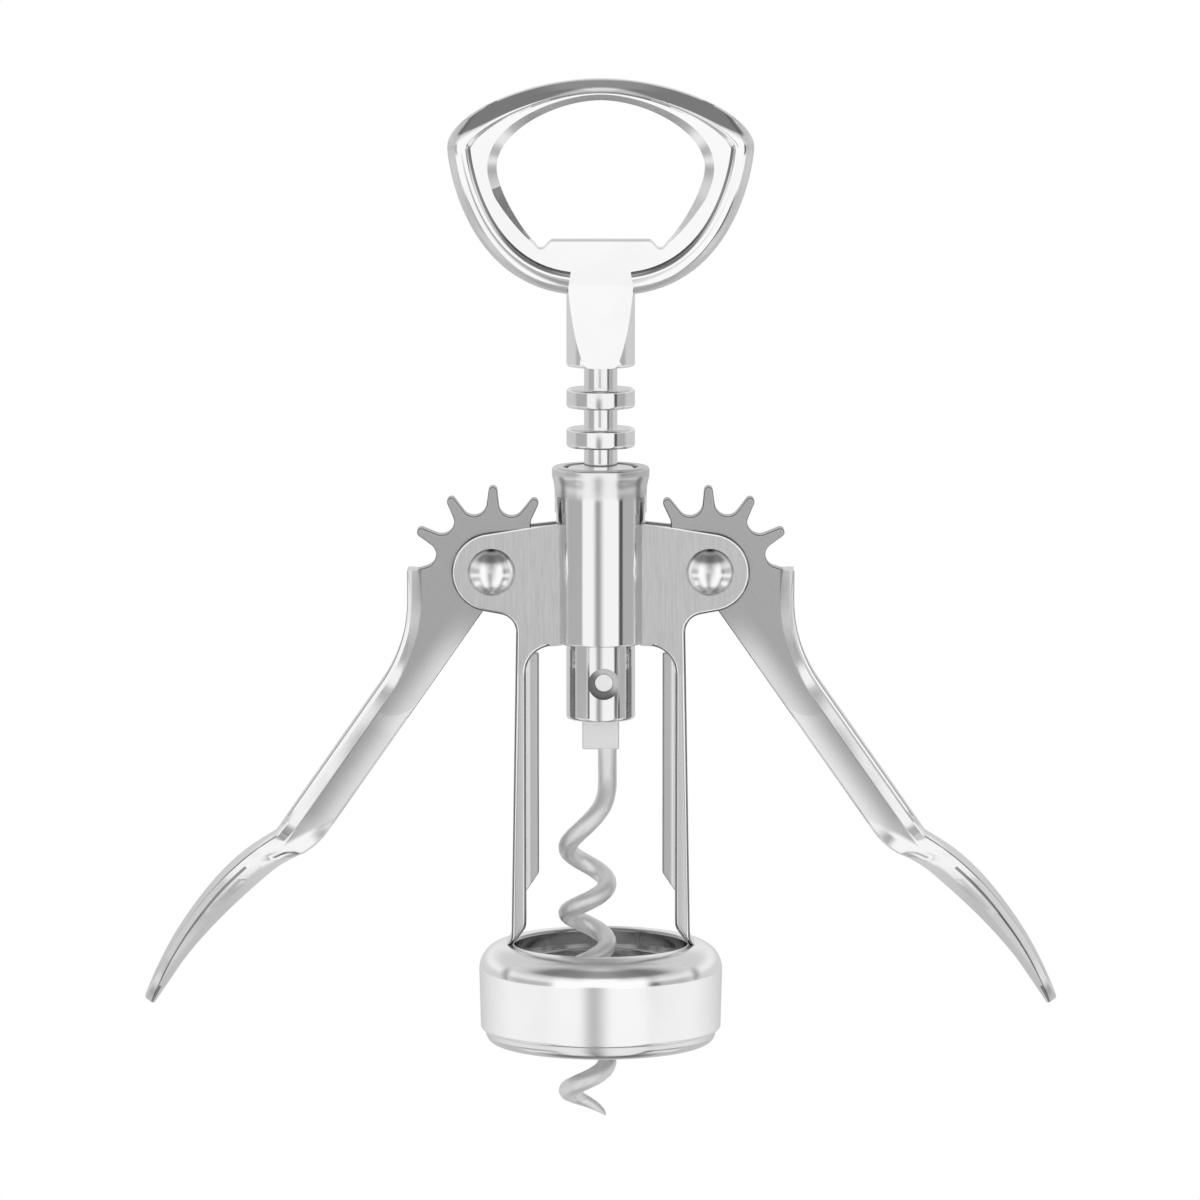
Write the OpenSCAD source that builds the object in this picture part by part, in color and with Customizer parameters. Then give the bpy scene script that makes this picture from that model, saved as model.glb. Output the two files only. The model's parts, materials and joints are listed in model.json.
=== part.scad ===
// Lever corkscrew: two geared levers lift a ringed rack that carries the worm and the handle.
// Millimetres. Z runs up the axis, the bell's mouth is Z = 0, the front faces -Y.
// The stored pose has both levers swung out by rest_angle from their folded place.

/* [Bell] */
// Outside diameter of the bell
bell_d = 40.4; // [39:0.2:46]
// Height of the bell, from its mouth to the rim of its top opening
bell_h = 16.6; // [16:0.2:20]
// Radius of the bell's rounded shoulder
shoulder_r = 4.4; // [3:0.1:5]
// Width of the bell's top rim, around its opening
rim_w = 5.9; // [5:0.1:7]
// Wall of the bell around the liner
bell_wall = 2; // [1.4:0.1:2.4]
// Thickness of the bell's top
bell_top_t = 3; // [2:0.1:4]
// Radius of the small rounded edges on the turned pieces
edge_r = 0.6; // [0.4:0.05:0.7]

/* [Bell liner] */
// Wall of the liner around the bore that takes the bottle's lip
liner_wall = 3.1; // [2.4:0.1:3.6]
// Depth of that bore
bottle_depth = 12; // [9:0.5:12.2]
// How far the shelf above it reaches in over the bottle's lip, around the cork's hole
shelf_w = 2.85; // [2:0.05:4]
// Height of the lip that shows below the bell
lip_h = 2.2; // [1:0.1:4]
// How far that lip stands in from the bell's side
lip_inset = 1.1; // [0.5:0.1:1.6]
// Radius of the lip's lower edge
lip_edge_r = 1.6; // [0.8:0.1:2]

/* [Frame] */
// Height of the lever pivots above the mouth
pivot_h = 78.9; // [76:0.1:90]
// Outside diameter of the guide tube
tube_d = 15.2; // [14.6:0.1:16]
// Bore of the guide tube
tube_bore_d = 12.1; // [12:0.1:12.6]
// Length of the tube above the pivots
tube_up = 17.3; // [16:0.1:19]
// Length of the tube below the pivots
tube_down = 12; // [11:0.1:14]
// How far the tube's top rim flares out
tube_flare = 0.45; // [0.2:0.05:0.8]
// Length of that flare
flare_len = 4.6; // [3:0.1:6]
// Radius of the cheeks' round ends
cheek_end_r = 6.65; // [6:0.05:7.2]
// Thickness of each cheek
cheek_t = 1.35; // [1:0.05:1.8]
// Slot between the cheeks
cheek_gap = 4.1; // [4.1:0.05:4.6]
// Thickness of a leg where it meets the bell
leg_t = 2.5; // [2:0.1:3]
// How much each leg leans in towards its top
leg_lean = 0.9; // [0:0.1:1.2]
// How far the guide fin stands in from a leg
fin_w = 2.1; // [1.5:0.1:3]
// Thickness of the fin
fin_t = 2.2; // [1.4:0.1:3]
// Height of the fin's foot above the bell
fin_lift = 8.7; // [6:0.1:12]
// Drop from the pivot to where a cheek runs into its leg
armpit_drop = 7.5; // [7:0.1:9]
// Radius of the inside corner between cheek and leg
armpit_r = 3; // [2:0.1:3.6]
// Radius of the arch between a leg and the tube
arch_r = 4.5; // [3:0.1:5]
// How far a leg's foot spreads over the bell's shoulder
foot_spread = 2.2; // [1:0.1:3]

/* [Rack] */
// Distance from ring to ring
rack_pitch = 6.54; // [6.4:0.02:6.8]
// Outside diameter of the rings
ring_d = 11.3; // [11:0.1:11.5]
// Height of a ring
ring_h = 3.25; // [2.8:0.05:3.4]
// Number of rings
ring_count = 6; // [6:1:7]
// Diameter of the core between the rings
core_d = 5.5; // [5:0.1:6]
// Bare core between the top ring and the handle
core_top = 3.6; // [3:0.05:5]

/* [Gear] */
// Angle from tooth to tooth
tooth_angle = 31; // [30:0.5:32]
// Number of teeth on each lever
tooth_count = 7; // [6:1:7]
// Height of a tooth
tooth_depth = 4.5; // [4:0.1:4.8]
// Radius of a tooth's tip
tooth_tip_r = 0.72; // [0.5:0.02:0.9]
// Radius of the hollow between two teeth
tooth_root_r = 2.1; // [1.8:0.05:2.3]
// Gap between a tooth's tip and the rack's core
tip_gap = 1.3; // [1:0.1:1.6]
// How far the mesh line lies outside the rings
mesh_gap = 0.28; // [0:0.02:0.4]
// Thickness of the gear and of the lever's web
gear_t = 3.8; // [3.4:0.05:3.9]

/* [Levers] */
// Angle between the folded place and the stored pose
rest_angle = 35; // [20:1:40]
// Distance from the pivot's centre line to the arm's inner edge
arm_in = 2.65; // [2.2:0.05:3]
// Width of the arm, seen from the front
arm_w = 7; // [6.4:0.1:8]
// Width of the flange along the arm's outer edge, front to back
flange_w = 6.6; // [5:0.1:8]
// Width of the rib along the arm's inner edge, front to back
rib_w = 5.2; // [4.4:0.1:6]
// How far the flange's bevel reaches in over the arm's face
bevel_w = 2.3; // [1.6:0.1:2.8]
// Radius of the lever's thin rounded edges
lever_edge = 0.3; // [0.1:0.05:0.5]
// Radius of the bend from the arm to the gear's shoulder
elbow_r = 24; // [18:0.5:30]
// Depth below the pivot at which the arm becomes straight
elbow_d = 25.6; // [23:0.1:28]
// Metal between the shoulder's corner and the last tooth hollow
shoulder_gap = 1.3; // [0.5:0.05:2]
// Length of the lever below its pivot
lever_len = 91.45; // [85:0.05:100]
// Width of the thumb pad, front to back
pad_w = 13; // [10:0.5:16]
// Distance from the lever's end to the pad's highest point
pad_peak = 14.2; // [10:0.2:18]
// Depth of the pad there, from its face to its underside
pad_depth = 3.8; // [3:0.1:5]
// Drop of the arm's straight part below the bell's top, where the pad begins
pad_lead = 12; // [10:0.2:14]
// Thickness of the pad's rim
pad_rim_t = 1.3; // [0.8:0.1:2]
// Clear distance between the folded pad and the bell
pad_gap = 2.45; // [2:0.05:5]

/* [Rivets] */
// Diameter of the rivet's shank
rivet_d = 5; // [4:0.1:6]
// Diameter of the rivet's domed heads
rivet_head_d = 7.8; // [7:0.1:9]
// Height of the domed heads
rivet_head_h = 2; // [1.2:0.1:2.6]

/* [Handle] */
// Width of the handle's loop
loop_w = 50.4; // [46:0.2:56]
// Height of the loop above its widest line
loop_up = 11.35; // [10:0.05:15]
// Height of the loop below its widest line
loop_down = 24.15; // [21:0.05:26]
// Width of the loop's sides
loop_side = 8.1; // [7:0.1:9]
// Width of the loop's top
loop_top = 3.6; // [3:0.1:5]
// Diameter of the rounded roll around the loop, front to back
roll_h = 5.4; // [4.6:0.1:6]
// Width of that roll on the loop's sides
roll_w = 4.2; // [3.4:0.1:5]
// Width of that edge at the top of the loop
roll_top_w = 2.5; // [2:0.1:4]
// Thickness of the flat part inside the roll
plate_t = 3.4; // [2.4:0.1:4]
// Height of the opener's edge above the loop's foot
opener_h = 9.1; // [8:0.1:11]
// Width of the opener's edge
opener_w = 16.4; // [14:0.2:18]
// Width of the opening just above the opener's notches
throat_w = 21.8; // [20:0.2:26]
// How far the throat reaches below the opener's edge
throat_drop = 0.5; // [0:0.05:1]
// Width of the notches beside the opener's edge
notch_w = 1.7; // [1.2:0.1:2.2]
// Depth of the notches beside the opener's edge
notch_depth = 1.9; // [1:0.1:2.4]
// How far the widest part of the opening lies below that of the loop
opening_drop = 3.3; // [1:0.1:4]
// Depth of the neck at its foot, where the tongue's flat runs out
tongue_h = 9.7; // [8:0.1:11]
// Diameter of the neck
neck_d = 11.3; // [11:0.1:11.5]
// Length of the neck below the loop
neck_len = 11.9; // [10:0.1:14]

/* [Spindle and worm] */
// Diameter of the spindle inside the rack
spindle_d = 3.1; // [2.8:0.1:3.4]
// How far the spindle reaches into the handle
spindle_grip = 9; // [6:0.5:10]
// Diameter of the boss that holds the worm
boss_d = 11.4; // [11:0.1:11.5]
// Length of that boss
boss_len = 15.7; // [13:0.1:20]
// Depth of metal above the slot for the worm's tang
boss_cap = 3.5; // [2.5:0.1:5]
// Diameter of the cross pin
pin_d = 3.3; // [2.4:0.1:3.6]
// Diameter of the pin's recess in the boss
pin_recess_d = 5.2; // [4.4:0.1:5.6]
// Depth of that recess
pin_recess = 1.4; // [0.8:0.1:2]
// How far the pin sits to one side of the axis
pin_x = 0.5; // [0:0.1:0.8]
// Height of the pin above the boss's foot
pin_h = 6.4; // [5:0.1:8]
// Width of the worm's flat tang
tang_w = 6.1; // [5.6:0.1:7]
// Thickness of the tang
tang_t = 2.1; // [1.6:0.1:2.6]
// Length of tang that shows below the boss
tang_show = 5.1; // [3:0.1:6]
// Diameter of the worm's wire
wire_d = 3.1; // [2.6:0.1:3.4]
// Outside diameter of the worm
worm_d = 9.7; // [8.6:0.1:10.4]
// Height of one turn of the worm
worm_pitch = 10; // [8:0.1:11]
// Number of turns
worm_turns = 4.93; // [3:0.01:5]
// How far the wire's straight part stands in from the tang's edge
wire_inset = 0.4; // [0:0.1:1]
// Angle over which the wire narrows to its point
point_angle = 165; // [90:5:240]
// Straight wire between the tang and the first turn
worm_neck = 6.4; // [4:0.1:8]
// Extra height in the first, drawn-out turn
worm_draw = 6.2; // [2:0.1:8]

/* [Clearances] */
// Radial play of a running pin in its bore
run_gap = 0.05; // [0.02:0.01:0.09]
// End play of the rack between the neck and the boss
end_gap = 0.05; // [0.02:0.01:0.09]
// Play between the teeth's circle and the frame's slot
slot_gap = 0.4; // [0.3:0.05:0.6]
// How far the pin's ends stay below the bottom of their recesses
pin_gap = 0.15; // [0:0.05:0.3]

/* [Hidden] */
$fn = 64;
arc_step = 9;
over = 1;

// Mesh of the levers with the rack
mesh_r = rack_pitch / (tooth_angle * PI / 180);
pivot_x = ring_d / 2 + mesh_gap + mesh_r;
tip_r = pivot_x - core_d / 2 - tip_gap;
root_r = tip_r - tooth_depth;
slot_r = tip_r + slot_gap;
ring_gap = rack_pitch - ring_h;
// Height of the rack's lowest gap, which meets the first tooth when the levers are folded
low_gap_z = pivot_h - mesh_r * rest_angle * PI / 180;
boss_top = low_gap_z - ring_gap / 2;
boss_foot = boss_top - boss_len;
neck_foot = boss_top + ring_count * rack_pitch + core_top;

// Frame
tube_top = pivot_h + tube_up;
tube_foot = pivot_h - tube_down;
frame_t = cheek_gap + 2 * cheek_t;
bell_r = bell_d / 2;
liner_r = bell_r - bell_wall;
liner_top = bell_h - bell_top_t;
opening_d = bell_d - 2 * rim_w;
bottle_bore_d = 2 * (liner_r - liner_wall);
cork_hole_d = bottle_bore_d - 2 * shelf_w;
leg_out = opening_d / 2 + 0.9 * edge_r;
leg_in = leg_out - leg_t;
leg_top_out = leg_out - leg_lean;
cheek_slope = 0.11;

// Lever, in its folded place with the pivot at the origin
hub_r = cheek_end_r - 0.05;
arm_out = arm_w - arm_in;
valley_r = root_r + tooth_root_r;
elbow = [-arm_out - elbow_r, -elbow_d];
elbow_a = 35;
end_hollow = (tooth_count - 0.5) * tooth_angle;
pad_n = bell_d / 2 + pad_gap - pivot_x;
arm_end = pivot_h - bell_h - pad_lead;
pad_start = arm_end + pad_lead / 2;
pad_top = pad_n + pad_depth;
plate_inset = 0.7;
web_sink = 0.2;
// Shape of the pad: crown, shares of its length where it widens and rounds off, and the powers
// of its outer face's rise and fall, its inner face and its tip
pad_crown = 0.3;
pad_widens = 0.42;
pad_rounds = 0.8;
pad_rise = 2.4;
pad_fall = 1.9;
pad_in_share = 0.58;
pad_in_power = 1.6;
pad_tip_share = 0.1665;

// Handle and worm
loop_r = loop_w / 2;
loop_foot = neck_foot + neck_len;
loop_mid = loop_foot + loop_down;
tang_foot = boss_foot - tang_show;
tang_top = boss_top - boss_cap;
wire_r = wire_d / 2;
coil_r = (worm_d - wire_d) / 2;
coil_x = tang_w / 2 - wire_r - coil_r - wire_inset;
pin_z = boss_foot + pin_h;
pin_l = boss_d - 2 * pin_recess - 2 * pin_gap;

function polar(r, a) = [r * cos(a), r * sin(a)];
function angle_of(v) = atan2(v[1], v[0]);
function unit(v) = v / norm(v);
function flip(p) = [-p[0], p[1]];
function reversed(p) = [for (i = [len(p) - 1:-1:0]) p[i]];
function joined(lists) = [for (l = lists) for (p = l) p];

// Points of an arc about c, from angle a to angle b
function arc(c, r, a, b) =
    let (n = max(1, ceil(abs(b - a) / arc_step)))
    [for (i = [0:n]) c + polar(r, a + (b - a) * i / n)];

// Arc that rounds the corner p = [x, y, r] between its neighbours a and b
function round_corner(a, p, b) =
    let (u = unit(a - [p[0], p[1]]), v = unit(b - [p[0], p[1]]),
         half = acos(max(-1, min(1, u * v))) / 2,
         c = [p[0], p[1]] + unit(u + v) * p[2] / sin(half),
         s = angle_of([p[0], p[1]] + u * p[2] / tan(half) - c),
         e = angle_of([p[0], p[1]] + v * p[2] / tan(half) - c),
         turn = e - s > 180 ? e - s - 360 : e - s < -180 ? e - s + 360 : e - s)
    arc(c, p[2], s, s + turn);

// Points of a cubic Bezier curve; skip = 1 leaves out the first
function bezier(p, n, skip = 0) =
    [for (i = [skip:n]) let (t = i / n, s = 1 - t)
        s * s * s * p[0] + 3 * s * s * t * p[1] + 3 * s * t * t * p[2] + t * t * t * p[3]];

// A flat outline in X and Z, made t thick in Y
module slab(t, pts) rotate([90, 0, 0]) linear_extrude(t, center = true) polygon(pts);

// Solid through rings of points that each have the same count
module loft(rings, closed = false) {
    n = len(rings);
    m = len(rings[0]);
    last = closed ? n - 1 : n - 2;
    sides = [for (i = [0:last], j = [0:m - 1])
        let (a = i * m + j, b = i * m + (j + 1) % m,
             c = ((i + 1) % n) * m + (j + 1) % m, d = ((i + 1) % n) * m + j)
        each [[a, c, b], [a, d, c]]];
    ends = closed ? [] : [[for (j = [0:m - 1]) j], [for (j = [m - 1:-1:0]) (n - 1) * m + j]];
    polyhedron(points = joined(rings), faces = concat(sides, ends), convexity = 10);
}

// ---- Frame: tube, cheeks, legs and bell in one casting ----

module tube_body() {
    r = tube_d / 2;
    rim = r + tube_flare;
    rotate_extrude() polygon(joined([
        [[0, tube_foot]],
        arc([r - edge_r / 2, tube_foot + edge_r / 2], edge_r / 2, -90, 0),
        bezier([[r, tube_top - flare_len], [r, tube_top - flare_len / 2],
                [rim, tube_top - flare_len / 2], [rim, tube_top - 2 * edge_r]], 6),
        arc([rim - edge_r, tube_top - edge_r], edge_r, 0, 90),
        [[0, tube_top]]]));
}

module bell_body() {
    rotate_extrude() polygon(concat(
        [[0, lip_h], [bell_r - edge_r, lip_h]],
        arc([bell_r - edge_r, lip_h + edge_r], edge_r, -90, 0),
        arc([bell_r - shoulder_r, bell_h - shoulder_r], shoulder_r, 0, 90),
        arc([opening_d / 2 + edge_r, bell_h - edge_r], edge_r, 90, 180),
        [[opening_d / 2, liner_top], [0, liner_top]]));
}

// One cheek and its leg, seen from the front, on the +X side
function side_outline() =
    let (end = [pivot_x, pivot_h],
         low = bell_h - bell_top_t / 2,
         seat = [bell_r - shoulder_r / 2, bell_h - shoulder_r * (1 - cos(30))],
         foot_x = opening_d / 2 + edge_r)
    joined([
        [[0, pivot_h + cheek_end_r + cheek_slope * pivot_x]],
        reversed(arc(end, cheek_end_r, -75, 90 - atan(cheek_slope))),
        rounded_run([end + polar(cheek_end_r, -75),
            [leg_top_out, pivot_h - armpit_drop, armpit_r],
            [leg_out, bell_h, foot_spread],
            [seat[0], seat[1], 0],
            [seat[0], low, 0],
            [foot_x, low, 0],
            [foot_x, bell_h, 0],
            [leg_in, bell_h + 2 * foot_spread, foot_spread],
            [leg_in, tube_foot - edge_r, arch_r],
            [0, tube_foot + edge_r / 2, 0]])]);

// An open run of corners, whose first and last points stay sharp
function rounded_run(pts) =
    [for (i = [1:len(pts) - 1])
        let (a = pts[i - 1], p = pts[i])
        each p[2] == 0 || i == len(pts) - 1 ? [[p[0], p[1]]]
            : round_corner([a[0], a[1]], p, [pts[i + 1][0], pts[i + 1][1]])];

// Fin along the inside of a leg, with its foot cut at a slant
function fin_outline() =
    let (foot = bell_h + fin_lift, head = pivot_h - slot_r + edge_r, root = leg_in + leg_t / 4)
    [[root, foot], [leg_in, foot], [leg_in - fin_w, foot + 1.5 * fin_w],
     [leg_in - fin_w, head], [root, head]];

module frame() {
    color("silver") difference() {
        union() {
            tube_body();
            bell_body();
            for (side = [0, 1]) mirror([side, 0, 0]) {
                slab(frame_t, side_outline());
                slab(fin_t, fin_outline());
            }
        }
        translate([0, 0, tube_foot - over])
            cylinder(d = tube_bore_d, h = tube_up + tube_down + 2 * over);
        translate([0, 0, -over]) cylinder(r = liner_r, h = liner_top + over);
        for (side = [-1, 1]) translate([side * pivot_x, 0, pivot_h]) rotate([90, 0, 0]) {
            cylinder(r = slot_r, h = cheek_gap, center = true);
            cylinder(d = rivet_d, h = frame_t + over, center = true);
        }
    }
}

// ---- Liner: seats on the bottle's lip, with a hole for the cork ----

module bell_liner() {
    lip_r = bell_r - lip_inset;
    color("gainsboro") difference() {
        rotate_extrude() polygon(concat(
            [[0, 0], [lip_r - lip_edge_r, 0]],
            arc([lip_r - lip_edge_r, lip_edge_r], lip_edge_r, -90, 0),
            [[lip_r, lip_h], [liner_r, lip_h], [liner_r, liner_top], [0, liner_top]]));
        translate([0, 0, -over]) cylinder(d = bottle_bore_d, h = bottle_depth + over);
        translate([0, 0, bottle_depth - over]) cylinder(d = cork_hole_d, h = liner_top);
    }
}

// ---- Rivets ----

module rivet(side) {
    r = rivet_head_d / 2;
    ball = (r * r + rivet_head_h * rivet_head_h) / (2 * rivet_head_h);
    tilt = acos((ball - rivet_head_h) / ball);
    color("whitesmoke") translate([side * pivot_x, 0, pivot_h]) rotate([90, 0, 0]) {
        cylinder(d = rivet_d, h = frame_t, center = true);
        for (end = [0, 1]) mirror([0, 0, end]) translate([0, 0, frame_t / 2])
            rotate_extrude() polygon(concat(
                [[0, 0]], arc([0, rivet_head_h - ball], ball, 90 - tilt, 90)));
    }
}

// ---- Lever: sector gear, ribbed arm and thumb pad ----

// Flank of a tooth: the line that touches both its tip's circle and the hollow's circle
tooth_line =
    let (tip = [tip_r - tooth_tip_r, 0],
         hollow = polar(valley_r, tooth_angle / 2),
         d = tip - hollow)
    angle_of(d) - acos((tooth_root_r + tooth_tip_r) / norm(d));

function tooth_tip(a) =
    arc(polar(tip_r - tooth_tip_r, a), tooth_tip_r, a - tooth_line - 180, a + tooth_line + 180);
function hollow(a, from, to) = arc(polar(valley_r, a), tooth_root_r, a + from, a + to);

// Length of the shoulder's straight edge, which ends shoulder_gap short of the last hollow
shoulder_len =
    let (way = polar(1, 90 + elbow_a),
         from = elbow + polar(elbow_r + plate_inset, elbow_a) - polar(valley_r, end_hollow),
         keep = tooth_root_r + shoulder_gap,
         nearest = from * way)
    -nearest - sqrt(max(0, nearest * nearest - from * from + keep * keep));

// The whole lever, flat: teeth counterclockwise, down the outer edge, up the inner edge
function lever_outline() =
    let (half = tooth_angle / 2,
         into = 360 + tooth_line - half,
         out = 2 * 180 - into,
         last = (tooth_count - 1) * tooth_angle,
         bend = elbow_r + plate_inset,
         corner = elbow + polar(bend, elbow_a) + polar(shoulder_len, 90 + elbow_a),
         to_corner = corner - polar(valley_r, end_hollow),
         corner_a = angle_of(to_corner) + acos(tooth_root_r / norm(to_corner)) - end_hollow,
         heel = polar(root_r, -half),
         heel_a = -half - acos(hub_r / root_r))
    joined([
        hollow(-half, 180, out),
        [for (k = [0:tooth_count - 2])
            each concat(tooth_tip(k * tooth_angle), hollow(k * tooth_angle + half, into, out))],
        tooth_tip(last),
        hollow(end_hollow, into, corner_a < into - 360 ? corner_a + 360 : corner_a),
        [corner],
        arc(elbow, bend, elbow_a, 0),
        [[plate_inset - arm_out, -arm_end], [arm_in - plate_inset, -arm_end],
         [arm_in - plate_inset, -elbow_d - 2 * bevel_w], [arm_in, -elbow_d - bevel_w]],
        arc([0, 0], hub_r, -acos(arm_in / hub_r), heel_a)]);

// ---- Arm and pad: one loft that follows the lever's outer edge from the gear to the tip ----

function smooth(s) = let (t = max(0, min(1, s))) t * t * (3 - 2 * t);
function mixed(a, b, s) = [for (i = [0:len(a) - 1]) a[i] * (1 - s) + b[i] * s];

// Half of the arm's section, as [distance in from the outer edge, height over the mid-plane]:
// flange edge, bevel, web and inner rib. The web lies just under the flat plate's face.
function arm_half(wide, rib) =
    let (w = flange_w / 2, core = gear_t / 2 - web_sink, e = lever_edge,
         foot = bevel_w + web_sink * (bevel_w - 2 * e) / (w - gear_t / 2),
         slope = 3 * (rib - core) + e)
    [[0, 0], [0, w - e], [e, w], [2 * e, w], [foot, core],
     [wide - e - slope, core], [wide - e, rib], [wide, rib - e], [wide, 0]];

// Half of the pad's section: slightly crowned face, thin rim and rounded underside
function pad_half(deep, w) =
    let (rim = min(deep * 0.8, pad_rim_t))
    concat([[0, 0], [pad_crown / 2, 0.75 * w], [pad_crown, w], [rim, w]],
           [for (f = [0.88, 0.7, 0.5, 0.25, 0]) [rim + (deep - rim) * sqrt(1 - f * f), f * w]]);

// Curves of the pad's outer and inner faces, by the distance d below the pivot
pad_run = lever_len - pad_peak - pad_start;
pad_in_peak = lever_len - pad_peak * pad_in_share;
function pad_outer(d) =
    let (u = (d - pad_start) / pad_run - 1)
    u < -1 ? arm_out : pad_top - (pad_top - arm_out) * pow(abs(u), u < 0 ? pad_rise : pad_fall);
function pad_inner(d) =
    pad_n - (pad_n + arm_in) * pow(abs(d - pad_in_peak) / (pad_in_peak - arm_end), pad_in_power);
function pad_w_at(s) =
    (flange_w + (pad_w - flange_w) * smooth(s / pad_widens)) / 2
    * sqrt(1 - pow(max(0, (s - pad_rounds) / (1.015 - pad_rounds)), 2));

// A whole ring from half a section: at is its outer point, way runs in from it
function full_ring(half, at, way) =
    let (m = len(half),
         both = concat(half, [for (i = [m - 2:-1:1]) [half[i][0], -half[i][1]]]))
    [for (p = both) [at[0] + way[0] * p[0], p[1], at[1] + way[1] * p[0]]];

function shoulder_ring(a, along) =
    full_ring(arm_half(arm_w - plate_inset, gear_t / 2 - web_sink),
              elbow + polar(elbow_r, a) + polar(along, a + 90), polar(1, a));
function arm_ring(d, rib) = full_ring(arm_half(arm_w, rib), [-arm_out, -d], [1, 0]);
function pad_ring(s) =
    let (d = arm_end + (lever_len - arm_end) * s, o = pad_outer(d), deep = o - pad_inner(d))
    full_ring(mixed(arm_half(arm_w, rib_w / 2), pad_half(deep, pad_w_at(s)),
                    smooth((d - arm_end) / pad_lead)),
              [-o, -d], [1, 0]);

module arm_and_pad() {
    loft(concat(
        [shoulder_ring(elbow_a, shoulder_len + lever_edge)],
        [for (k = [4:-1:1]) shoulder_ring(elbow_a * k / 4, 0)],
        [arm_ring(elbow_d, gear_t / 2), arm_ring(elbow_d + 2 * bevel_w, rib_w / 2)],
        [for (k = [0:14]) pad_ring(k / 18)],
        [for (k = [5:-1:0]) pad_ring(1 - pad_tip_share * pow(k / 5, pad_in_power))]));
}

module lever_folded() {
    difference() {
        union() {
            slab(gear_t, lever_outline());
            arm_and_pad();
        }
        rotate([90, 0, 0]) cylinder(d = rivet_d + 2 * run_gap, h = gear_t + over, center = true);
    }
}

module lever(side) {
    color("lightgray") translate([side * pivot_x, 0, pivot_h])
        mirror([side > 0 ? 1 : 0, 0, 0]) rotate([0, rest_angle, 0]) lever_folded();
}

// ---- Rack: a sleeve of rings that the levers' teeth push ----

module rack() {
    foot = boss_top + end_gap;
    head = neck_foot - end_gap;
    r = ring_d / 2;
    core = core_d / 2;
    color("whitesmoke") difference() {
        rotate_extrude() polygon(joined([
            [[0, foot], [core, foot]],
            [for (k = [1:ring_count])
                let (z = boss_top + k * rack_pitch)
                each joined([[[core, z - ring_h]], arc([r - edge_r, z - ring_h + edge_r], edge_r, -90, 0),
                             arc([r - edge_r, z - edge_r], edge_r, 0, 90), [[core, z]]])],
            [[core, head], [0, head]]]));
        translate([0, 0, foot - over])
            cylinder(d = spindle_d + 2 * run_gap, h = head - foot + 2 * over);
    }
}

// ---- Spindle, with the boss that holds the worm ----

module spindle() {
    r = boss_d / 2;
    color("whitesmoke") difference() {
        union() {
            rotate_extrude() polygon(joined([
                [[0, boss_foot]], arc([r - edge_r, boss_foot + edge_r], edge_r, -90, 0),
                arc([r - edge_r, boss_top - edge_r], edge_r, 0, 90), [[0, boss_top]]]));
            translate([0, 0, boss_top - over])
                cylinder(d = spindle_d, h = neck_foot + spindle_grip - boss_top + over);
        }
        translate([-tang_w / 2, -tang_t / 2, boss_foot - over])
            cube([tang_w, tang_t, tang_top - boss_foot + over]);
        translate([pin_x, 0, pin_z]) rotate([90, 0, 0]) {
            cylinder(d = pin_d, h = boss_d + over, center = true);
            for (end = [0, 1]) mirror([0, 0, end]) translate([0, 0, r - pin_recess])
                cylinder(d = pin_recess_d, h = pin_recess + over);
        }
    }
}

module worm_pin() {
    color("lightgray") translate([pin_x, 0, pin_z]) rotate([90, 0, 0])
        cylinder(d = pin_d, h = pin_l, center = true);
}

// ---- Worm: flat tang, straight wire and a pointed right-handed coil ----

// Centre of the wire at a degrees of turn; the coil starts on the tang's right-hand side
function coil_point(a) =
    let (z0 = tang_foot - worm_neck,
         drawn = a < 360 ? pow((360 - a) / 360, 2.6) : 0)
    [coil_x + coil_r * cos(a), -coil_r * sin(a),
     z0 - worm_draw * (1 - drawn) - worm_pitch * a / 360];
function coil_way(a) = unit(coil_point(a + 1) - coil_point(a));
// A steady frame for the rings: radial and binormal to the coil's own axis
function coil_ring(a, r) =
    let (c = coil_point(a), way = coil_way(a),
         out = unit([cos(a), -sin(a), 0]),
         side = unit(out - (out * way) * way),
         up = cross(way, side))
    [for (j = [0:11]) c + r * (cos(30 * j) * side + sin(30 * j) * up)];

module worm() {
    turn = worm_turns * 360;
    steps = ceil(turn / (2 * arc_step));
    top = [coil_x + coil_r, 0, tang_foot + wire_r];
    color("darkgray") {
        loft(concat(
            [[for (j = [0:11]) top + wire_r * [cos(30 * j), -sin(30 * j), 0]]],
            [for (k = [0:steps - 1]) let (a = turn * k / steps)
                coil_ring(a, wire_r * sqrt(min(1, (turn - a) / point_angle)))],
            [coil_ring(turn, wire_r / 10)]));
        difference() {
            translate([-tang_w / 2, -tang_t / 2, tang_foot]) cube([tang_w, tang_t, tang_top - tang_foot]);
            translate([pin_x, 0, pin_z]) rotate([90, 0, 0])
                cylinder(d = pin_d, h = tang_t + over, center = true);
        }
    }
}

// ---- Handle: loop with a bottle opener, on a faceted neck ----

// Half of the loop's outer edge, from the top to the foot, moved in by d
function loop_edge(d, n) =
    let (a = loop_r - d, up = loop_up - d, down = loop_down - d)
    [for (p = concat(
        bezier([[0, 1], [0.51, 1], [1, 0.46], [1, 0]], n),
        [for (q = bezier([[1, 0], [1, 0.09], [0.9, 0.91], [0.22, 1]], n, 1)) [q[0], -q[1]]]))
        [a * p[0], loop_mid + p[1] * (p[1] > 0 ? up : down)]];

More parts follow.
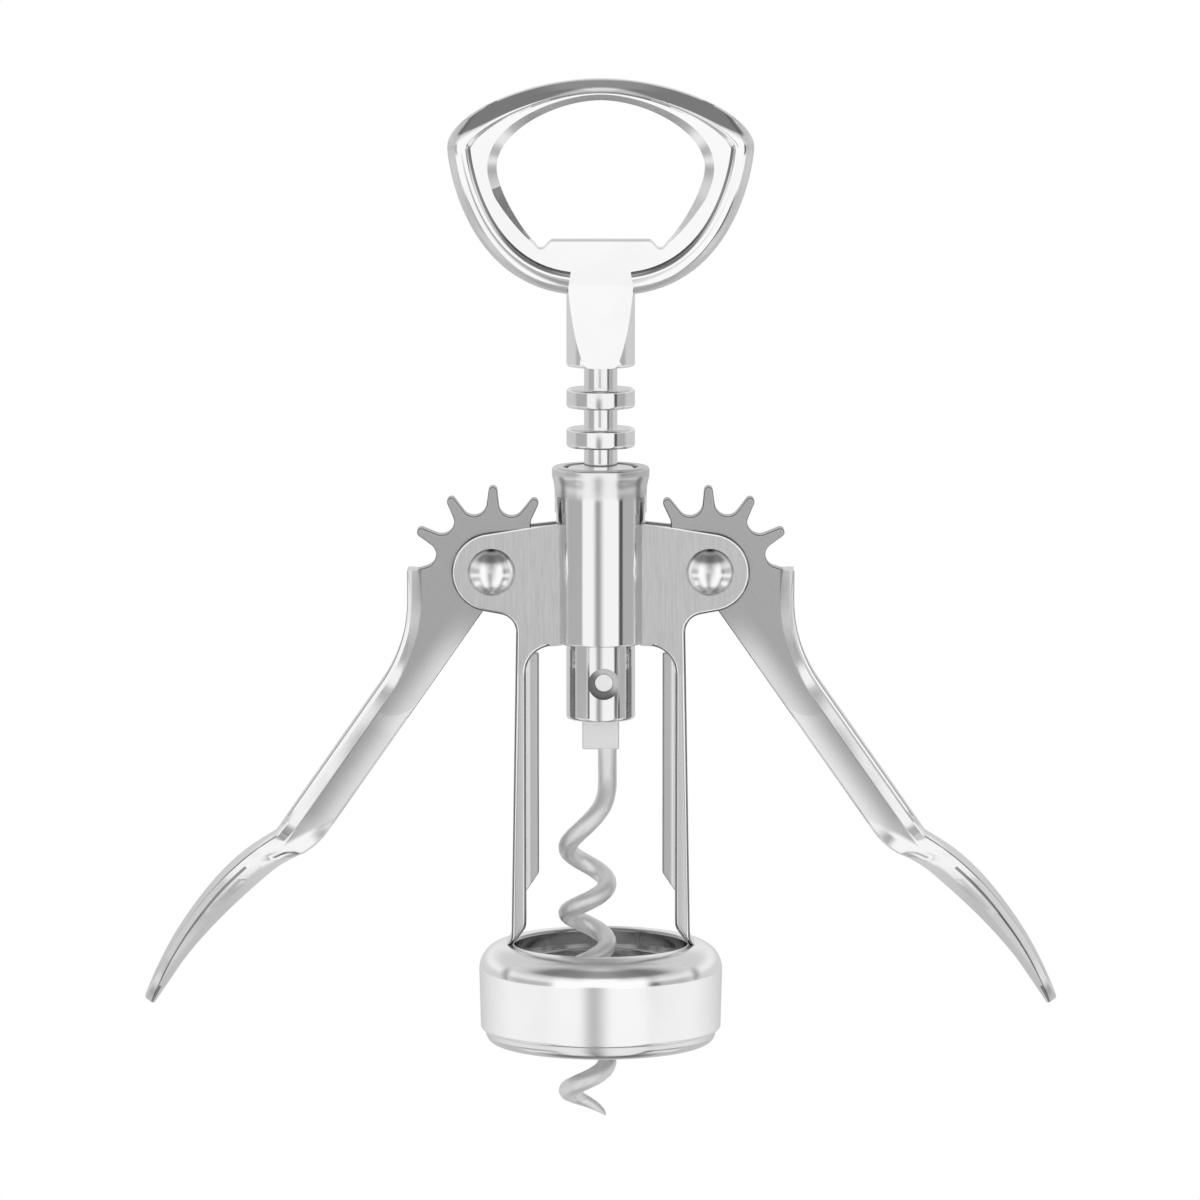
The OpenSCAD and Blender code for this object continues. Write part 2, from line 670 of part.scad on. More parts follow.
function opening_edge() =
    let (mid = loop_mid - opening_drop, a = loop_r - loop_side,
         up = loop_up + opening_drop - loop_top,
         sill = loop_foot + opener_h, half = opener_w / 2,
         edge = throat_w / 2, down = mid - sill + throat_drop)
    concat(
        [for (q = bezier([[0, 1], [0.43, 1], [1, 0.54], [1, 0]], 10)) [a * q[0], mid + up * q[1]]],
        [for (q = bezier([[1, 0], [1, 0.28], [0.78, 0.8], [edge / a, 1]], 8, 1))
            [a * q[0], mid - down * q[1]]],
        rounded_run([[edge, mid - down],
            [half + notch_w, sill - notch_depth, notch_w / 2],
            [half, sill, notch_w / 2], [0, sill, 0]]));

function mirrored_loop(half) = concat(half, reversed([for (p = half) flip(p)]));

module roll() {
    half = loop_edge(0, 14);
    path = concat(reversed([for (p = half) flip(p)]), [for (i = [1:len(half) - 1]) half[i]]);
    n = len(path);
    loft([for (i = [0:n - 1])
        let (p = path[i],
             way = unit(path[min(n - 1, i + 1)] - path[max(0, i - 1)]),
             inward = [way[1], -way[0]],
             share = min(1, abs(p[0]) / loop_r),
             w = roll_top_w + (roll_w - roll_top_w) * smooth(share),
             c = p + inward * w / 2)
        [for (j = [0:11]) let (q = c + inward * w / 2 * cos(30 * j))
            [q[0], roll_h / 2 * sin(30 * j), q[1]]]]);
}

module handle() {
    shade = "whitesmoke";
    flat_z = loop_foot + edge_r;
    r = neck_d / 2;
    foot_y = tongue_h / 2;
    half_plate = plate_t / 2;
    color(shade) difference() {
        union() {
            difference() {
                slab(plate_t, mirrored_loop(loop_edge(roll_w / 3, 14)));
                slab(plate_t + over, mirrored_loop(opening_edge()));
            }
            roll();
            intersection() {
                translate([0, 0, neck_foot]) cylinder(r = r, h = neck_len + roll_w);
                rotate([90, 0, 90]) linear_extrude(neck_d + over, center = true)
                    polygon([[-r, neck_foot], [-foot_y, neck_foot + r - foot_y], [-half_plate, flat_z],
                             [-half_plate, flat_z + roll_w], [half_plate, flat_z + roll_w],
                             [half_plate, flat_z], [foot_y, neck_foot + r - foot_y], [r, neck_foot]]);
            }
        }
        translate([0, 0, neck_foot - over]) cylinder(d = spindle_d, h = spindle_grip + over);
    }
}

frame();
bell_liner();
rivet(-1);  // rivet_left
rivet(1);  // rivet_right
lever(-1);  // lever_left
lever(1);  // lever_right
rack();
spindle();
handle();
worm_pin();
worm();
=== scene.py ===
# %% [markdown]
# # A lever corkscrew in bright metal
#
# This lesson dresses a corkscrew whose sizes and joints are already settled in CAD. The CAD model gives the
# true places, and each piece is modelled again over its solid with rounded edges and real finishes.
# Everything is in millimetres until a helper turns it into Blender's metres.

# %% Load the frame
import json
import math

import bmesh
import bpy
from mathutils import Matrix, Vector


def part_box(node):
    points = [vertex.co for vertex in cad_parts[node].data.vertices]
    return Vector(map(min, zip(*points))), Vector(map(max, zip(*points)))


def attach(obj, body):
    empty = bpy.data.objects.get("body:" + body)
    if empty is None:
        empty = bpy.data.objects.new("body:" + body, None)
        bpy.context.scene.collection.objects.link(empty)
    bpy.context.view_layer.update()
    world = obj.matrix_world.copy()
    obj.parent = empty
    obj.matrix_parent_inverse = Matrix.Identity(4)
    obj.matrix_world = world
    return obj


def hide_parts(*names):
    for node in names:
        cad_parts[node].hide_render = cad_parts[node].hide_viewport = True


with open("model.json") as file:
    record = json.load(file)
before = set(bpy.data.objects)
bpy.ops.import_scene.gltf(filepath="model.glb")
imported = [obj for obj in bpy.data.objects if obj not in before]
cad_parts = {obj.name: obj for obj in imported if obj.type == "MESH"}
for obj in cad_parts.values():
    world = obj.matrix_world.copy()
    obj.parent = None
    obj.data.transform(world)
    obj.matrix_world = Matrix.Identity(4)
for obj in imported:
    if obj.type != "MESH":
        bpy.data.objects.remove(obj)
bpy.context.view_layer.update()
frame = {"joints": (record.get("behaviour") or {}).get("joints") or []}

# %% [markdown]
# The pieces take their places from the CAD nodes' own boxes and joints, so they fit without trial and
# error.

# %% Places from the CAD
MM = 0.001


def bottom(node):
    """Lowest height of a CAD node, in millimetres."""
    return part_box(node)[0].z / MM


def top(node):
    """Greatest height of a CAD node, in millimetres."""
    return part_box(node)[1].z / MM


joints = {joint["name"]: joint for joint in frame["joints"]}
pivot_x, _, pivot_h = [value / MM for value in joints["lever_right_pivot"]["pos_m"]]
tube_top = top("frame")
rack_play = 0.05
boss_foot, boss_top = bottom("spindle"), bottom("rack") - rack_play
neck_foot = bottom("handle")
print(f"pivots at x {pivot_x:.2f}, z {pivot_h:.2f}; tube top {tube_top:.2f}; neck foot {neck_foot:.2f}")

# %% [markdown]
# ## Drawing in edit mode
#
# A turned or cut piece starts as an outline. In the Blender window this is a single vertex that is extruded
# again and again with E. Here a small plane is merged to one vertex, and each extrude moves by the step to
# the next point. The outline is then spun round an axis, or filled and thickened.


# %% Outline helpers
def put_down():
    """Leaves edit mode with nothing selected."""
    if bpy.context.object and bpy.context.object.mode == "EDIT":
        bpy.ops.object.mode_set(mode="OBJECT")
    bpy.ops.object.select_all(action="DESELECT")


def take(piece):
    """Makes a piece the only selected and active object."""
    put_down()
    piece.select_set(True)
    bpy.context.view_layer.objects.active = piece


def draw(name, points, closed=True):
    """A new piece in edit mode: one line through the points, closed to a loop if asked."""
    put_down()
    bpy.ops.mesh.primitive_plane_add(size=MM, location=(0, 0, 0))
    piece = bpy.context.object
    piece.name = piece.data.name = name
    bpy.ops.object.mode_set(mode="EDIT")
    bpy.ops.mesh.select_all(action="SELECT")
    bpy.ops.mesh.merge(type="CENTER")
    bpy.ops.transform.translate(value=Vector(points[0]) * MM)
    for here, there in zip(points, points[1:]):
        step = (Vector(there) - Vector(here)) * MM
        bpy.ops.mesh.extrude_vertices_move(TRANSFORM_OT_translate={"value": step})
    if closed:
        mesh = bmesh.from_edit_mesh(piece.data)
        mesh.verts.ensure_lookup_table()
        for vertex in mesh.verts:
            vertex.select = vertex.index in (0, len(points) - 1)
        mesh.select_flush_mode()
        bpy.ops.mesh.edge_face_add()
    return piece


def tidy_faces():
    """Merges points within a thousandth of a millimetre and turns every face outwards."""
    bpy.ops.mesh.select_all(action="SELECT")
    bpy.ops.mesh.remove_doubles(threshold=MM / 1000)
    bpy.ops.mesh.normals_make_consistent(inside=False)


def turned(name, profile, centre=(0, 0, 0), axis=(0, 0, 1), steps=96, closed=True):
    """Spins a profile of points once round an axis."""
    piece = draw(name, profile, closed)
    bpy.ops.mesh.select_all(action="SELECT")
    bpy.ops.mesh.spin(steps=steps, angle=2 * math.pi, center=Vector(centre) * MM, axis=axis)
    tidy_faces()
    put_down()
    return piece


def cut_plate(name, outline, thickness):
    """Fills an outline of (x, z) points and extrudes it along Y to a thickness."""
    piece = draw(name, [(x, -thickness / 2, z) for x, z in outline])
    bpy.ops.mesh.select_all(action="SELECT")
    bpy.ops.mesh.edge_face_add()
    bpy.ops.mesh.extrude_region_move(TRANSFORM_OT_translate={"value": (0, thickness * MM, 0)})
    tidy_faces()
    put_down()
    return piece


sharp_from = 40


def round_edges(piece, width, angle=sharp_from):
    """Rounds the edges that turn by more than an angle with a Bevel modifier and applies it."""
    take(piece)
    bevel = piece.modifiers.new("rounding", "BEVEL")
    bevel.width = width * MM
    bevel.segments = 3
    bevel.limit_method = "ANGLE"
    bevel.angle_limit = math.radians(angle)
    bpy.ops.object.modifier_apply(modifier=bevel.name)


def round_where(piece, width, keep):
    """Rounds the sharp edges whose two ends both pass a test, with the Bevel tool in edit mode."""
    take(piece)
    bpy.ops.object.mode_set(mode="EDIT")
    bpy.ops.mesh.select_all(action="DESELECT")
    mesh = bmesh.from_edit_mesh(piece.data)
    for edge in mesh.edges:
        sharp = len(edge.link_faces) == 2 and edge.calc_face_angle() > math.radians(sharp_from)
        edge.select = sharp and all(keep(vertex.co / MM) for vertex in edge.verts)
    bmesh.update_edit_mesh(piece.data)
    bpy.ops.mesh.bevel(offset=width * MM, segments=4)
    put_down()


def cut_away(piece, tool):
    """Cuts a tool's shape out of a piece with a Boolean modifier, then deletes the tool."""
    take(piece)
    boolean = piece.modifiers.new("cut", "BOOLEAN")
    boolean.operation = "DIFFERENCE"
    boolean.object = tool
    boolean.solver = "EXACT"
    bpy.ops.object.modifier_apply(modifier=boolean.name)
    bpy.data.objects.remove(tool)


def rod(name, radius, length, at, axis, sides):
    """A plain cylinder along Z or Y, used as a cutting tool or as the start of a pin or a neck."""
    put_down()
    turn = {"Z": (0, 0, 0), "Y": (math.pi / 2, 0, 0)}[axis]
    bpy.ops.mesh.primitive_cylinder_add(
        vertices=sides, radius=radius * MM, depth=length * MM, location=Vector(at) * MM, rotation=turn
    )
    piece = bpy.context.object
    piece.name = piece.data.name = name
    bpy.ops.object.transform_apply(location=True, rotation=True, scale=True)
    return piece


# %% [markdown]
# Arcs and curves are worked out as plain points. `run` rounds the corners of an open line, each by its own
# radius, as a fillet tool does.


# %% Curves in the plane
def polar(radius, degrees):
    return (radius * math.cos(math.radians(degrees)), radius * math.sin(math.radians(degrees)))


def arc(centre, radius, start, end, step=7.5):
    """Points on an arc from one angle to another, no further apart than a step in degrees."""
    count = max(1, math.ceil(abs(end - start) / step))
    spots = [polar(radius, start + (end - start) * i / count) for i in range(count + 1)]
    return [(centre[0] + x, centre[1] + y) for x, y in spots]


def bezier(a, b, c, d, count, skip=0):
    """Points on the curve from a to d that leaves towards b and arrives from c."""
    line = []
    for i in range(skip, count + 1):
        t = i / count
        s = 1 - t
        line.append(tuple(
            s * s * s * p + 3 * s * s * t * q + 3 * s * t * t * r + t * t * t * u
            for p, q, r, u in zip(a, b, c, d)
        ))
    return line


def fillet(before, corner, after, radius, step=7.5):
    """Arc of a radius that touches both lines of a corner."""
    here = Vector(corner)
    u, v = (Vector(before) - here).normalized(), (Vector(after) - here).normalized()
    half = math.acos(max(-1, min(1, u.dot(v)))) / 2
    centre = here + (u + v).normalized() * radius / math.sin(half)
    reach = radius / math.tan(half)
    start = math.degrees(math.atan2(*reversed(here + u * reach - centre)))
    end = math.degrees(math.atan2(*reversed(here + v * reach - centre)))
    turn = (end - start + 180) % 360 - 180
    return arc(tuple(centre), radius, start, start + turn, step)


def run(corners, step=7.5):
    """Open line through (x, z, radius) corners."""
    line = [corners[0][:2]]
    for before, corner, after in zip(corners, corners[1:], corners[2:]):
        if corner[2]:
            line += fillet(before[:2], corner[:2], after[:2], corner[2], step)
        else:
            line.append(corner[:2])
    return line + [corners[-1][:2]]


def smooth(share):
    """Ease from 0 to 1 with level ends."""
    share = max(0.0, min(1.0, share))
    return share * share * (3 - 2 * share)


# %% [markdown]
# ## Lofting
#
# A curved casting such as the lever's arm changes its section along its length. It is modelled by hand from
# one closed loop: the loop is extruded, the new copy is moved to the next section, and so on. `loft` does
# just that with a circle primitive as the first loop.


# %% Loft helper
def loft(name, rings, ends=True):
    """Extrudes one loop through rings of points and closes the two ends."""
    count = len(rings[0])
    put_down()
    bpy.ops.mesh.primitive_circle_add(vertices=count, radius=MM)
    piece = bpy.context.object
    piece.name = piece.data.name = name
    bpy.ops.object.mode_set(mode="EDIT")
    bpy.ops.mesh.select_all(action="SELECT")
    mesh = bmesh.from_edit_mesh(piece.data)
    mesh.verts.ensure_lookup_table()
    order = {vertex.index: vertex.index for vertex in mesh.verts}
    for vertex in mesh.verts:
        vertex.co = Vector(rings[0][vertex.index]) * MM
    for ring in rings[1:]:
        bpy.ops.mesh.extrude_edges_move(TRANSFORM_OT_translate={"value": (0, 0, 0)})
        mesh = bmesh.from_edit_mesh(piece.data)
        mesh.verts.index_update()
        fresh = {}
        for vertex in mesh.verts:
            if vertex.select:
                source = next(
                    edge.other_vert(vertex) for edge in vertex.link_edges
                    if not edge.other_vert(vertex).select
                )
                fresh[vertex.index] = order[source.index]
                vertex.co = Vector(ring[order[source.index]]) * MM
        order = fresh
    if ends:
        bpy.ops.mesh.edge_face_add()
        bpy.ops.mesh.select_all(action="DESELECT")
        mesh = bmesh.from_edit_mesh(piece.data)
        mesh.verts.ensure_lookup_table()
        for i in range(count):
            mesh.verts[i].select = True
        mesh.select_flush_mode()
        bpy.ops.mesh.edge_face_add()
    tidy_faces()
    put_down()
    return piece


# %% [markdown]
# ## Nodes as arithmetic
#
# A material's maths is long to wire by hand. `Wire` stands for a socket, so two sockets can be added or
# multiplied like numbers, and `Board.node` makes any node from its type, its settings and its inputs.


# %% Wires and boards
class Wire:
    """The output of a node, for use in plain arithmetic."""

    def __init__(self, board, socket):
        self.board, self.socket = board, socket

    def maths(self, operation, *values):
        return self.board.node("ShaderNodeMath", {"operation": operation}, dict(enumerate(values)))

    def __add__(self, other):
        return self.maths("ADD", self, other)

    def __sub__(self, other):
        return self.maths("SUBTRACT", self, other)

    def __rsub__(self, other):
        return self.maths("SUBTRACT", other, self)

    def __mul__(self, other):
        return self.maths("MULTIPLY", self, other)

    def __abs__(self):
        return self.maths("ABSOLUTE", self)

    __radd__, __rmul__ = __add__, __mul__

    def root(self):
        return self.maths("SQRT", self)

    def ease(self, low, high, start=0.0, end=1.0):
        """Smooth step from start to end while this value goes from low to high."""
        names = {"Value": self, "From Min": low, "From Max": high, "To Min": start, "To Max": end}
        return self.board.node("ShaderNodeMapRange", {"interpolation_type": "SMOOTHSTEP"}, names)


class Board:
    """A node tree, emptied and ready to take nodes."""

    def __init__(self, tree):
        self.tree = tree
        tree.nodes.clear()

    def node(self, kind, settings=None, values=None, output=0):
        """Makes any node, sets it up, wires or fills its sockets, and gives one of its outputs."""
        made = self.tree.nodes.new(kind)
        for name, value in (settings or {}).items():
            setattr(made, name, value)
        for name, value in (values or {}).items():
            if isinstance(value, Wire):
                self.tree.links.new(value.socket, made.inputs[name])
            else:
                made.inputs[name].default_value = value
        return Wire(self, made.outputs[output]) if made.outputs else made

    def axes(self, vector):
        """The x, y and z of a vector, as three wires."""
        split = self.node("ShaderNodeSeparateXYZ", values={"Vector": vector})
        return [Wire(self, socket) for socket in split.socket.node.outputs]

    def place(self):
        """The shaded point in the object's own axes, in millimetres, as three wires."""
        point = self.node("ShaderNodeTexCoord", output="Object")
        return [part * (1 / MM) for part in self.axes(point)]

    def vector(self, x, y, z):
        return self.node("ShaderNodeCombineXYZ", values={"X": x, "Y": y, "Z": z})

    def noise(self, where, scale, detail=3.0):
        """Noise from 0 to 1; a scale of 1 gives spots about a millimetre wide."""
        return self.node("ShaderNodeTexNoise", values={"Vector": where, "Scale": scale, "Detail": detail})

    def mix(self, share, a, b):
        """Blend of two colours, which have sockets of their own on a Mix node."""
        return self.node("ShaderNodeMix", {"data_type": "RGBA"}, {0: share, 6: a, 7: b}, output=2)

    def level(self, value):
        """A grey whose level is worked out by a wire."""
        return self.node("ShaderNodeCombineColor", values={0: value, 1: value, 2: value})

    def relief(self, height, depth, strength=0.5):
        """A bump of a depth in millimetres."""
        return self.node("ShaderNodeBump", values={
            "Strength": strength, "Distance": depth * MM, "Height": height,
        })

    def surface(self, values):
        """Ends the board in one Principled shader."""
        skin = self.node("ShaderNodeBsdfPrincipled", values=values)
        self.node("ShaderNodeOutputMaterial", values={"Surface": skin})


# %% [markdown]
# ## Chrome
#
# Die-cast zinc is polished, plated with nickel and then with a very thin chrome layer. The plating has no
# colour of its own: it shows the room. What makes it look real is the slight spread of its reflection,
# faint wiping marks that change the roughness, and a shallow ripple left by the polishing wheel. A plating
# below 1 is the duller look of bare steel, and on the handle rim's outer side it helps paint a grey shade.


# %% Polished metal
def new_material(name):
    """A new material and the board for its nodes."""
    material = bpy.data.materials.new(name)
    material.use_nodes = True
    return material, Board(material.node_tree)


def grey(value):
    return (value, value, value, 1.0)


def metal(name, tint, roughness, ripple=0.004, shade=0.1, plating=1.0):
    """Polished metal with a faint ripple and wiping marks."""
    material, board = new_material(name)
    x, y, z = board.place()
    where = board.vector(x, y, z)
    clouds = board.noise(where, 0.12)
    marks = board.noise(board.vector(x * 3, y * 3, z * 0.6), 0.8, 5.0)
    board.surface({
        "Base Color": board.mix(clouds.ease(0.3, 0.7), grey(tint - shade * 0.3), grey(tint)),
        "Metallic": plating,
        "Roughness": roughness + 0.03 * (marks - 0.5),
        "Normal": board.relief(board.noise(where, 0.3, 1.0), ripple),
    })
    return material


# %% [markdown]
# The flat faces of the cheeks come from a belt grinder, so their grain runs in one direction: noise that is
# stretched along it. Elsewhere painted highlights and painted shade follow the shape, on edges and in
# corners.
# Those metals are painted by a recipe, which works out the tint, the roughness and the plating from the
# place.


# %% Brushed and painted metal
def brushed(name, tint, roughness, along, shade=0.16, grain=0.02):
    """Satin metal whose fine grain runs along one direction, given as stretch factors for x, y and z."""
    material, board = new_material(name)
    x, y, z = board.place()
    lines = board.vector(x * along[0], y * along[1], z * along[2])
    fine, coarse = board.noise(lines, 1.0, 4.0), board.noise(lines, 0.25, 2.0)
    grains = fine * 0.6 + coarse * 0.4
    board.surface({
        "Base Color": board.mix(grains.ease(0.3, 0.7), grey(tint * (1 - shade)), grey(tint)),
        "Metallic": 1.0,
        "Roughness": roughness + 0.12 * (fine - 0.5),
        "Normal": board.relief(grains, grain, 0.6),
    })
    return material


def painted(name, recipe):
    """Metal whose tint, roughness and plating a recipe works out from the place in millimetres."""
    material, board = new_material(name)
    tint, roughness, plating = recipe(*board.place())
    board.surface({"Base Color": board.level(tint), "Roughness": roughness, "Metallic": plating})
    return material


# %% [markdown]
# These are the finishes, from a mirror to nearly black. The dark ones are painted shade in grooves and
# hollows and painted reflections on edges, standing for the dark corners of a room.

# %% Finishes of the parts
frame_bright = metal("frame_bright", 0.9, 0.07)
frame_satin = brushed("frame_satin", 0.7, 0.3, (12, 1, 0.35))
bell_bright = metal("bell_bright", 1.0, 0.17, ripple=0.002, plating=0.85)
rack_bright = metal("rack_bright", 0.9, 0.08)
handle_bright = metal("handle_bright", 0.96, 0.06)
# Painted shade: a dark metal for grooves and hollows.
painted_shade_dark = metal("painted_shade_dark", 0.36, 0.2)
# Painted reflection: a dark metal for the lines along rounded edges.
painted_edge_reflection = metal("painted_edge_reflection", 0.3, 0.15)
bevel_dull = metal("bevel_dull", 0.9, 0.22)
# Painted shade: a darker metal for the inside of the opening and the bore.
painted_inside_shade = metal("painted_inside_shade", 0.45, 0.15)
# Painted shade: a grey, rougher metal for the outer side of the handle's rim.
rim_painted_shade = metal("rim_painted_shade", 0.86, 0.3, plating=0.5)
spindle_bright = metal("spindle_bright", 0.9, 0.08)
liner_satin = metal("liner_satin", 0.8, 0.16)
pin_satin = metal("pin_satin", 1.0, 0.45, shade=0.02)
worm_satin = metal("worm_satin", 0.98, 0.42, shade=0.04, plating=0.55)
print("materials:", len(bpy.data.materials))

# %% [markdown]
# Every finished piece gets its body and its materials here. Smooth shading lets a small rounded
# edge bend the reflection on the large face beside it, so a Weighted Normal modifier lets the large faces
# lead. Faces that look straight to the front or the back may take a second material, because a grinder or a
# polishing wheel only touches those flats.


# %% Finishing a piece
def use_where(piece, material, test):
    """Gives a further material to the faces whose middle and normal pass a test."""
    piece.data.materials.append(material)
    last = len(piece.data.materials) - 1
    for face in piece.data.polygons:
        if test(face.center / MM, face.normal):
            face.material_index = last


def finish_piece(piece, body, nodes, bright, flats=None, angle=32):
    """Shades and dresses a piece; edges that turn by more than the angle stay sharp."""
    take(piece)
    bpy.ops.object.shade_smooth_by_angle(angle=math.radians(angle))
    weights = piece.modifiers.new("large_faces_lead", "WEIGHTED_NORMAL")
    weights.keep_sharp = True
    weights.weight = 90
    bpy.ops.object.modifier_apply(modifier=weights.name)
    piece.data.materials.clear()
    piece.data.materials.append(bright)
    if flats:
        use_where(piece, flats, lambda place, normal: abs(normal.y) > 0.985)
    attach(piece, body)
    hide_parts(*nodes)
    low = [min(corner[i] for corner in piece.bound_box) / MM for i in range(3)]
    high = [max(corner[i] for corner in piece.bound_box) / MM for i in range(3)]
    size = " x ".join(f"{b - a:.1f}" for a, b in zip(low, high))
    print(f"{piece.name}: {size} mm, {len(piece.data.polygons)} faces")
    return piece


def on_edge(normal, steepest=0.15, flattest=0.75):
    """The part of a rounded edge that gathers the dark surroundings in a thin line."""
    return steepest < abs(normal.y) < flattest


# %% [markdown]
# ## Frame
#
# The frame is one casting: a tube that guides the rack, two forked cheeks that hold the levers, two legs
# and the bell that stands on the bottle. It is modelled in parts that overlap, as the patternmaker's model
# would be.
#
# The tube is turned: its wall is drawn as a section and spun round the axis. A disc cuts a saw slot on each
# side, where the gear reaches in to the rack.

# %% Guide tube
tube_r, tube_bore_r, tube_below, edge_r = 7.6, 6.05, 12, 0.6
flare, flare_len, flare_bend, flare_end = 0.45, 4.6, 2.3, 1.2
foot_round, mouth_round = 0.3, 0.35
tube_foot = pivot_h - tube_below
rim_r = tube_r + flare
wall = (
    arc((tube_r - foot_round, tube_foot + foot_round), foot_round, -90, 0, 30)
    + bezier((tube_r, tube_top - flare_len), (tube_r, tube_top - flare_bend), (rim_r, tube_top - flare_bend),
             (rim_r, tube_top - flare_end), 8)
    + arc((rim_r - edge_r, tube_top - edge_r), edge_r, 0, 90, 15)
    + arc((tube_bore_r + mouth_round, tube_top - mouth_round), mouth_round, 90, 180, 30)
    + [(tube_bore_r, tube_foot)]
)
guide_tube = turned("guide_tube", [(r, 0, z) for r, z in wall])
slot_r, slot_w = 14.37, 4.1


def saw_slots(piece):
    """Cuts the two slots that the gears turn in."""
    for side in (-1, 1):
        cut_away(piece, rod("slot", slot_r, slot_w, (side * pivot_x, 0, pivot_h), "Y", 96))


saw_slots(guide_tube)

# %% [markdown]
# The tube's wall is mirror bright, but a polishing wheel hardly reaches the hollow under the flare. That
# part is duller, and painted grey bands in its tint carry on the reflected bands that the room draws on the
# wall below.


# %% Metal of the tube
def tube_recipe(x, y, z):
    """Mirror bright; the flare is duller, with a painted reflection: a faint grey band on the left and a
    grey one on the right.
    """
    flared = z.ease(tube_top - 5.5, tube_top - 4.2)
    painted_reflection_bands = x.ease(-4.4, -3.6, 1.0, 0.0) * 0.14 + x.ease(2.4, 3.0) * 0.26
    return 0.9 - flared * painted_reflection_bands, 0.07 + flared * 0.2, 1.0


tube_bright = painted("tube_bright", tube_recipe)
finish_piece(guide_tube, "frame", ["frame"], tube_bright)
# Painted shade inside the tube's bore.
use_where(guide_tube, painted_shade_dark, lambda p, n: p.xy.length < tube_bore_r + 0.25 and p.xy.dot(n.xy) < 0)

# %% [markdown]
# The cheeks and legs are one flat portal. Its outline runs from the top middle round the cheek's end, into
# the armpit, down the leg, round the foot that sinks into the bell and back up the leg's inner side. The
# same discs cut the saw slots, and a bore leaves room for the tube.

# %% Cheeks and legs
cheek_r, frame_t, cheek_slope = 6.65, 6.8, 0.11
bell_r, bell_h = 20.2, 16.6
leg_out, leg_w, armpit_z = 14.84, 2.5, pivot_h - 7.5
leg_in, armpit_x = leg_out - leg_w, leg_out - 0.9
toe_x, heel_x, instep_x, sunk_z = 17.3, 14.9, 14.5, bell_h - 1.5
cheek = arc((pivot_x, pivot_h), cheek_r, 90 - math.degrees(math.atan(cheek_slope)), -75, 6)
leg = run([
    cheek[-1] + (0,), (armpit_x, armpit_z, 3), (leg_out, bell_h, 2.4), (toe_x, bell_h - 0.75, 0),
    (toe_x, sunk_z, 0), (heel_x, sunk_z, 0), (instep_x, bell_h, 0), (leg_in, bell_h + 3, 2),
    (leg_in, tube_foot - 0.6, 4.5), (0, tube_foot + 0.3, 0),
])
half = cheek + leg[1:]
outline = [(0, pivot_h + cheek_r + cheek_slope * pivot_x)] + half
outline += [(-x, z) for x, z in reversed(half[:-1])]
side_frame = cut_plate("side_frame", outline, frame_t)
frame_bore_r = tube_r - 0.3
cut_away(side_frame, rod("bore", frame_bore_r, 60, (0, 0, pivot_h), "Z", 96))
saw_slots(side_frame)
round_where(side_frame, 0.55, lambda p: abs(p.y) > frame_t / 2 - 0.01 and p.xy.length > frame_bore_r + 0.1)

# %% [markdown]
# The cheeks are ground and the legs are polished, so a bisect splits the faces where the legs begin. The
# legs' metal is painted: a strip this narrow shows little of the room, so a highlight, a dark line and shade
# are painted along it.

# %% Metal of the legs
leg_top = tube_foot - 5
take(side_frame)
bpy.ops.object.mode_set(mode="EDIT")
bpy.ops.mesh.select_all(action="SELECT")
bpy.ops.mesh.bisect(plane_co=(0, 0, leg_top * MM), plane_no=(0, 0, 1))
put_down()


def leg_recipe(x, y, z):
    """A painted highlight along the strip's outer edge, a thin painted dark line beside it and painted shade
    on the inner side.
    """
    inwards = z.ease(bell_h, armpit_z, leg_out, armpit_x) - abs(x)
    light = inwards.ease(0.4, 0.55, 1.0, 0.0)
    dark = inwards.ease(0.5, 0.55) - inwards.ease(0.6, 0.75) * 0.7
    inner = abs(x).ease(leg_in + 0.1, leg_in + 0.3, 1.0, 0.0)
    return 0.86 + light * 0.14 - dark * 0.3 - inner * 0.36, 0.22, 1.0


leg_bright = painted("leg_bright", leg_recipe)
finish_piece(side_frame, "frame", ["frame"], frame_bright, frame_satin)
use_where(side_frame, leg_bright, lambda p, n: p.z < leg_top)
# Painted dark reflection lines on the cheeks' rounded edges.
use_where(side_frame, painted_edge_reflection, lambda p, n: on_edge(n, 0.4, 0.9))

# %% [markdown]
# Each leg has a T section: a narrow fin stands along its inside and keeps the thin strip from buckling. Its
# foot is cut at a slant, where the casting comes away from the mould.


# %% Leg fins
def fin_recipe(x, y, z):
    """A painted highlight beside the strip, grey further in, and a painted dark line on the fin's free edge.
    """
    inwards = leg_in - abs(x)
    light, edge = inwards.ease(0.5, 0.8, 1.0, 0.0), inwards.ease(1.75, 1.9)
    return 0.62 + light * 0.38 - edge * 0.3, 0.25, 1.0


fin_bright = painted("fin_bright", fin_recipe)
fin_t, fin_w, fin_slant, fin_root = 2.2, 2.1, 3.15, 0.6
fin_foot, fin_head = bell_h + 8.7, pivot_h - slot_r + 0.6
root_x, free_x = leg_in + fin_root, leg_in - fin_w
corners = [(root_x, fin_foot), (leg_in, fin_foot), (free_x, fin_foot + fin_slant), (free_x, fin_head),
           (root_x, fin_head)]
for side, name in ((-1, "fin_left"), (1, "fin_right")):
    fin = cut_plate(name, [(side * x, z) for x, z in corners], fin_t)
    round_edges(fin, 0.3, 30)
    finish_piece(fin, "frame", ["frame"], fin_bright)

# %% [markdown]
# The bell is turned too. Its shoulder is a large round that flows into the flat rim of the top opening. Its
# side leans in a little towards the foot, the draft that lets a casting leave its mould.

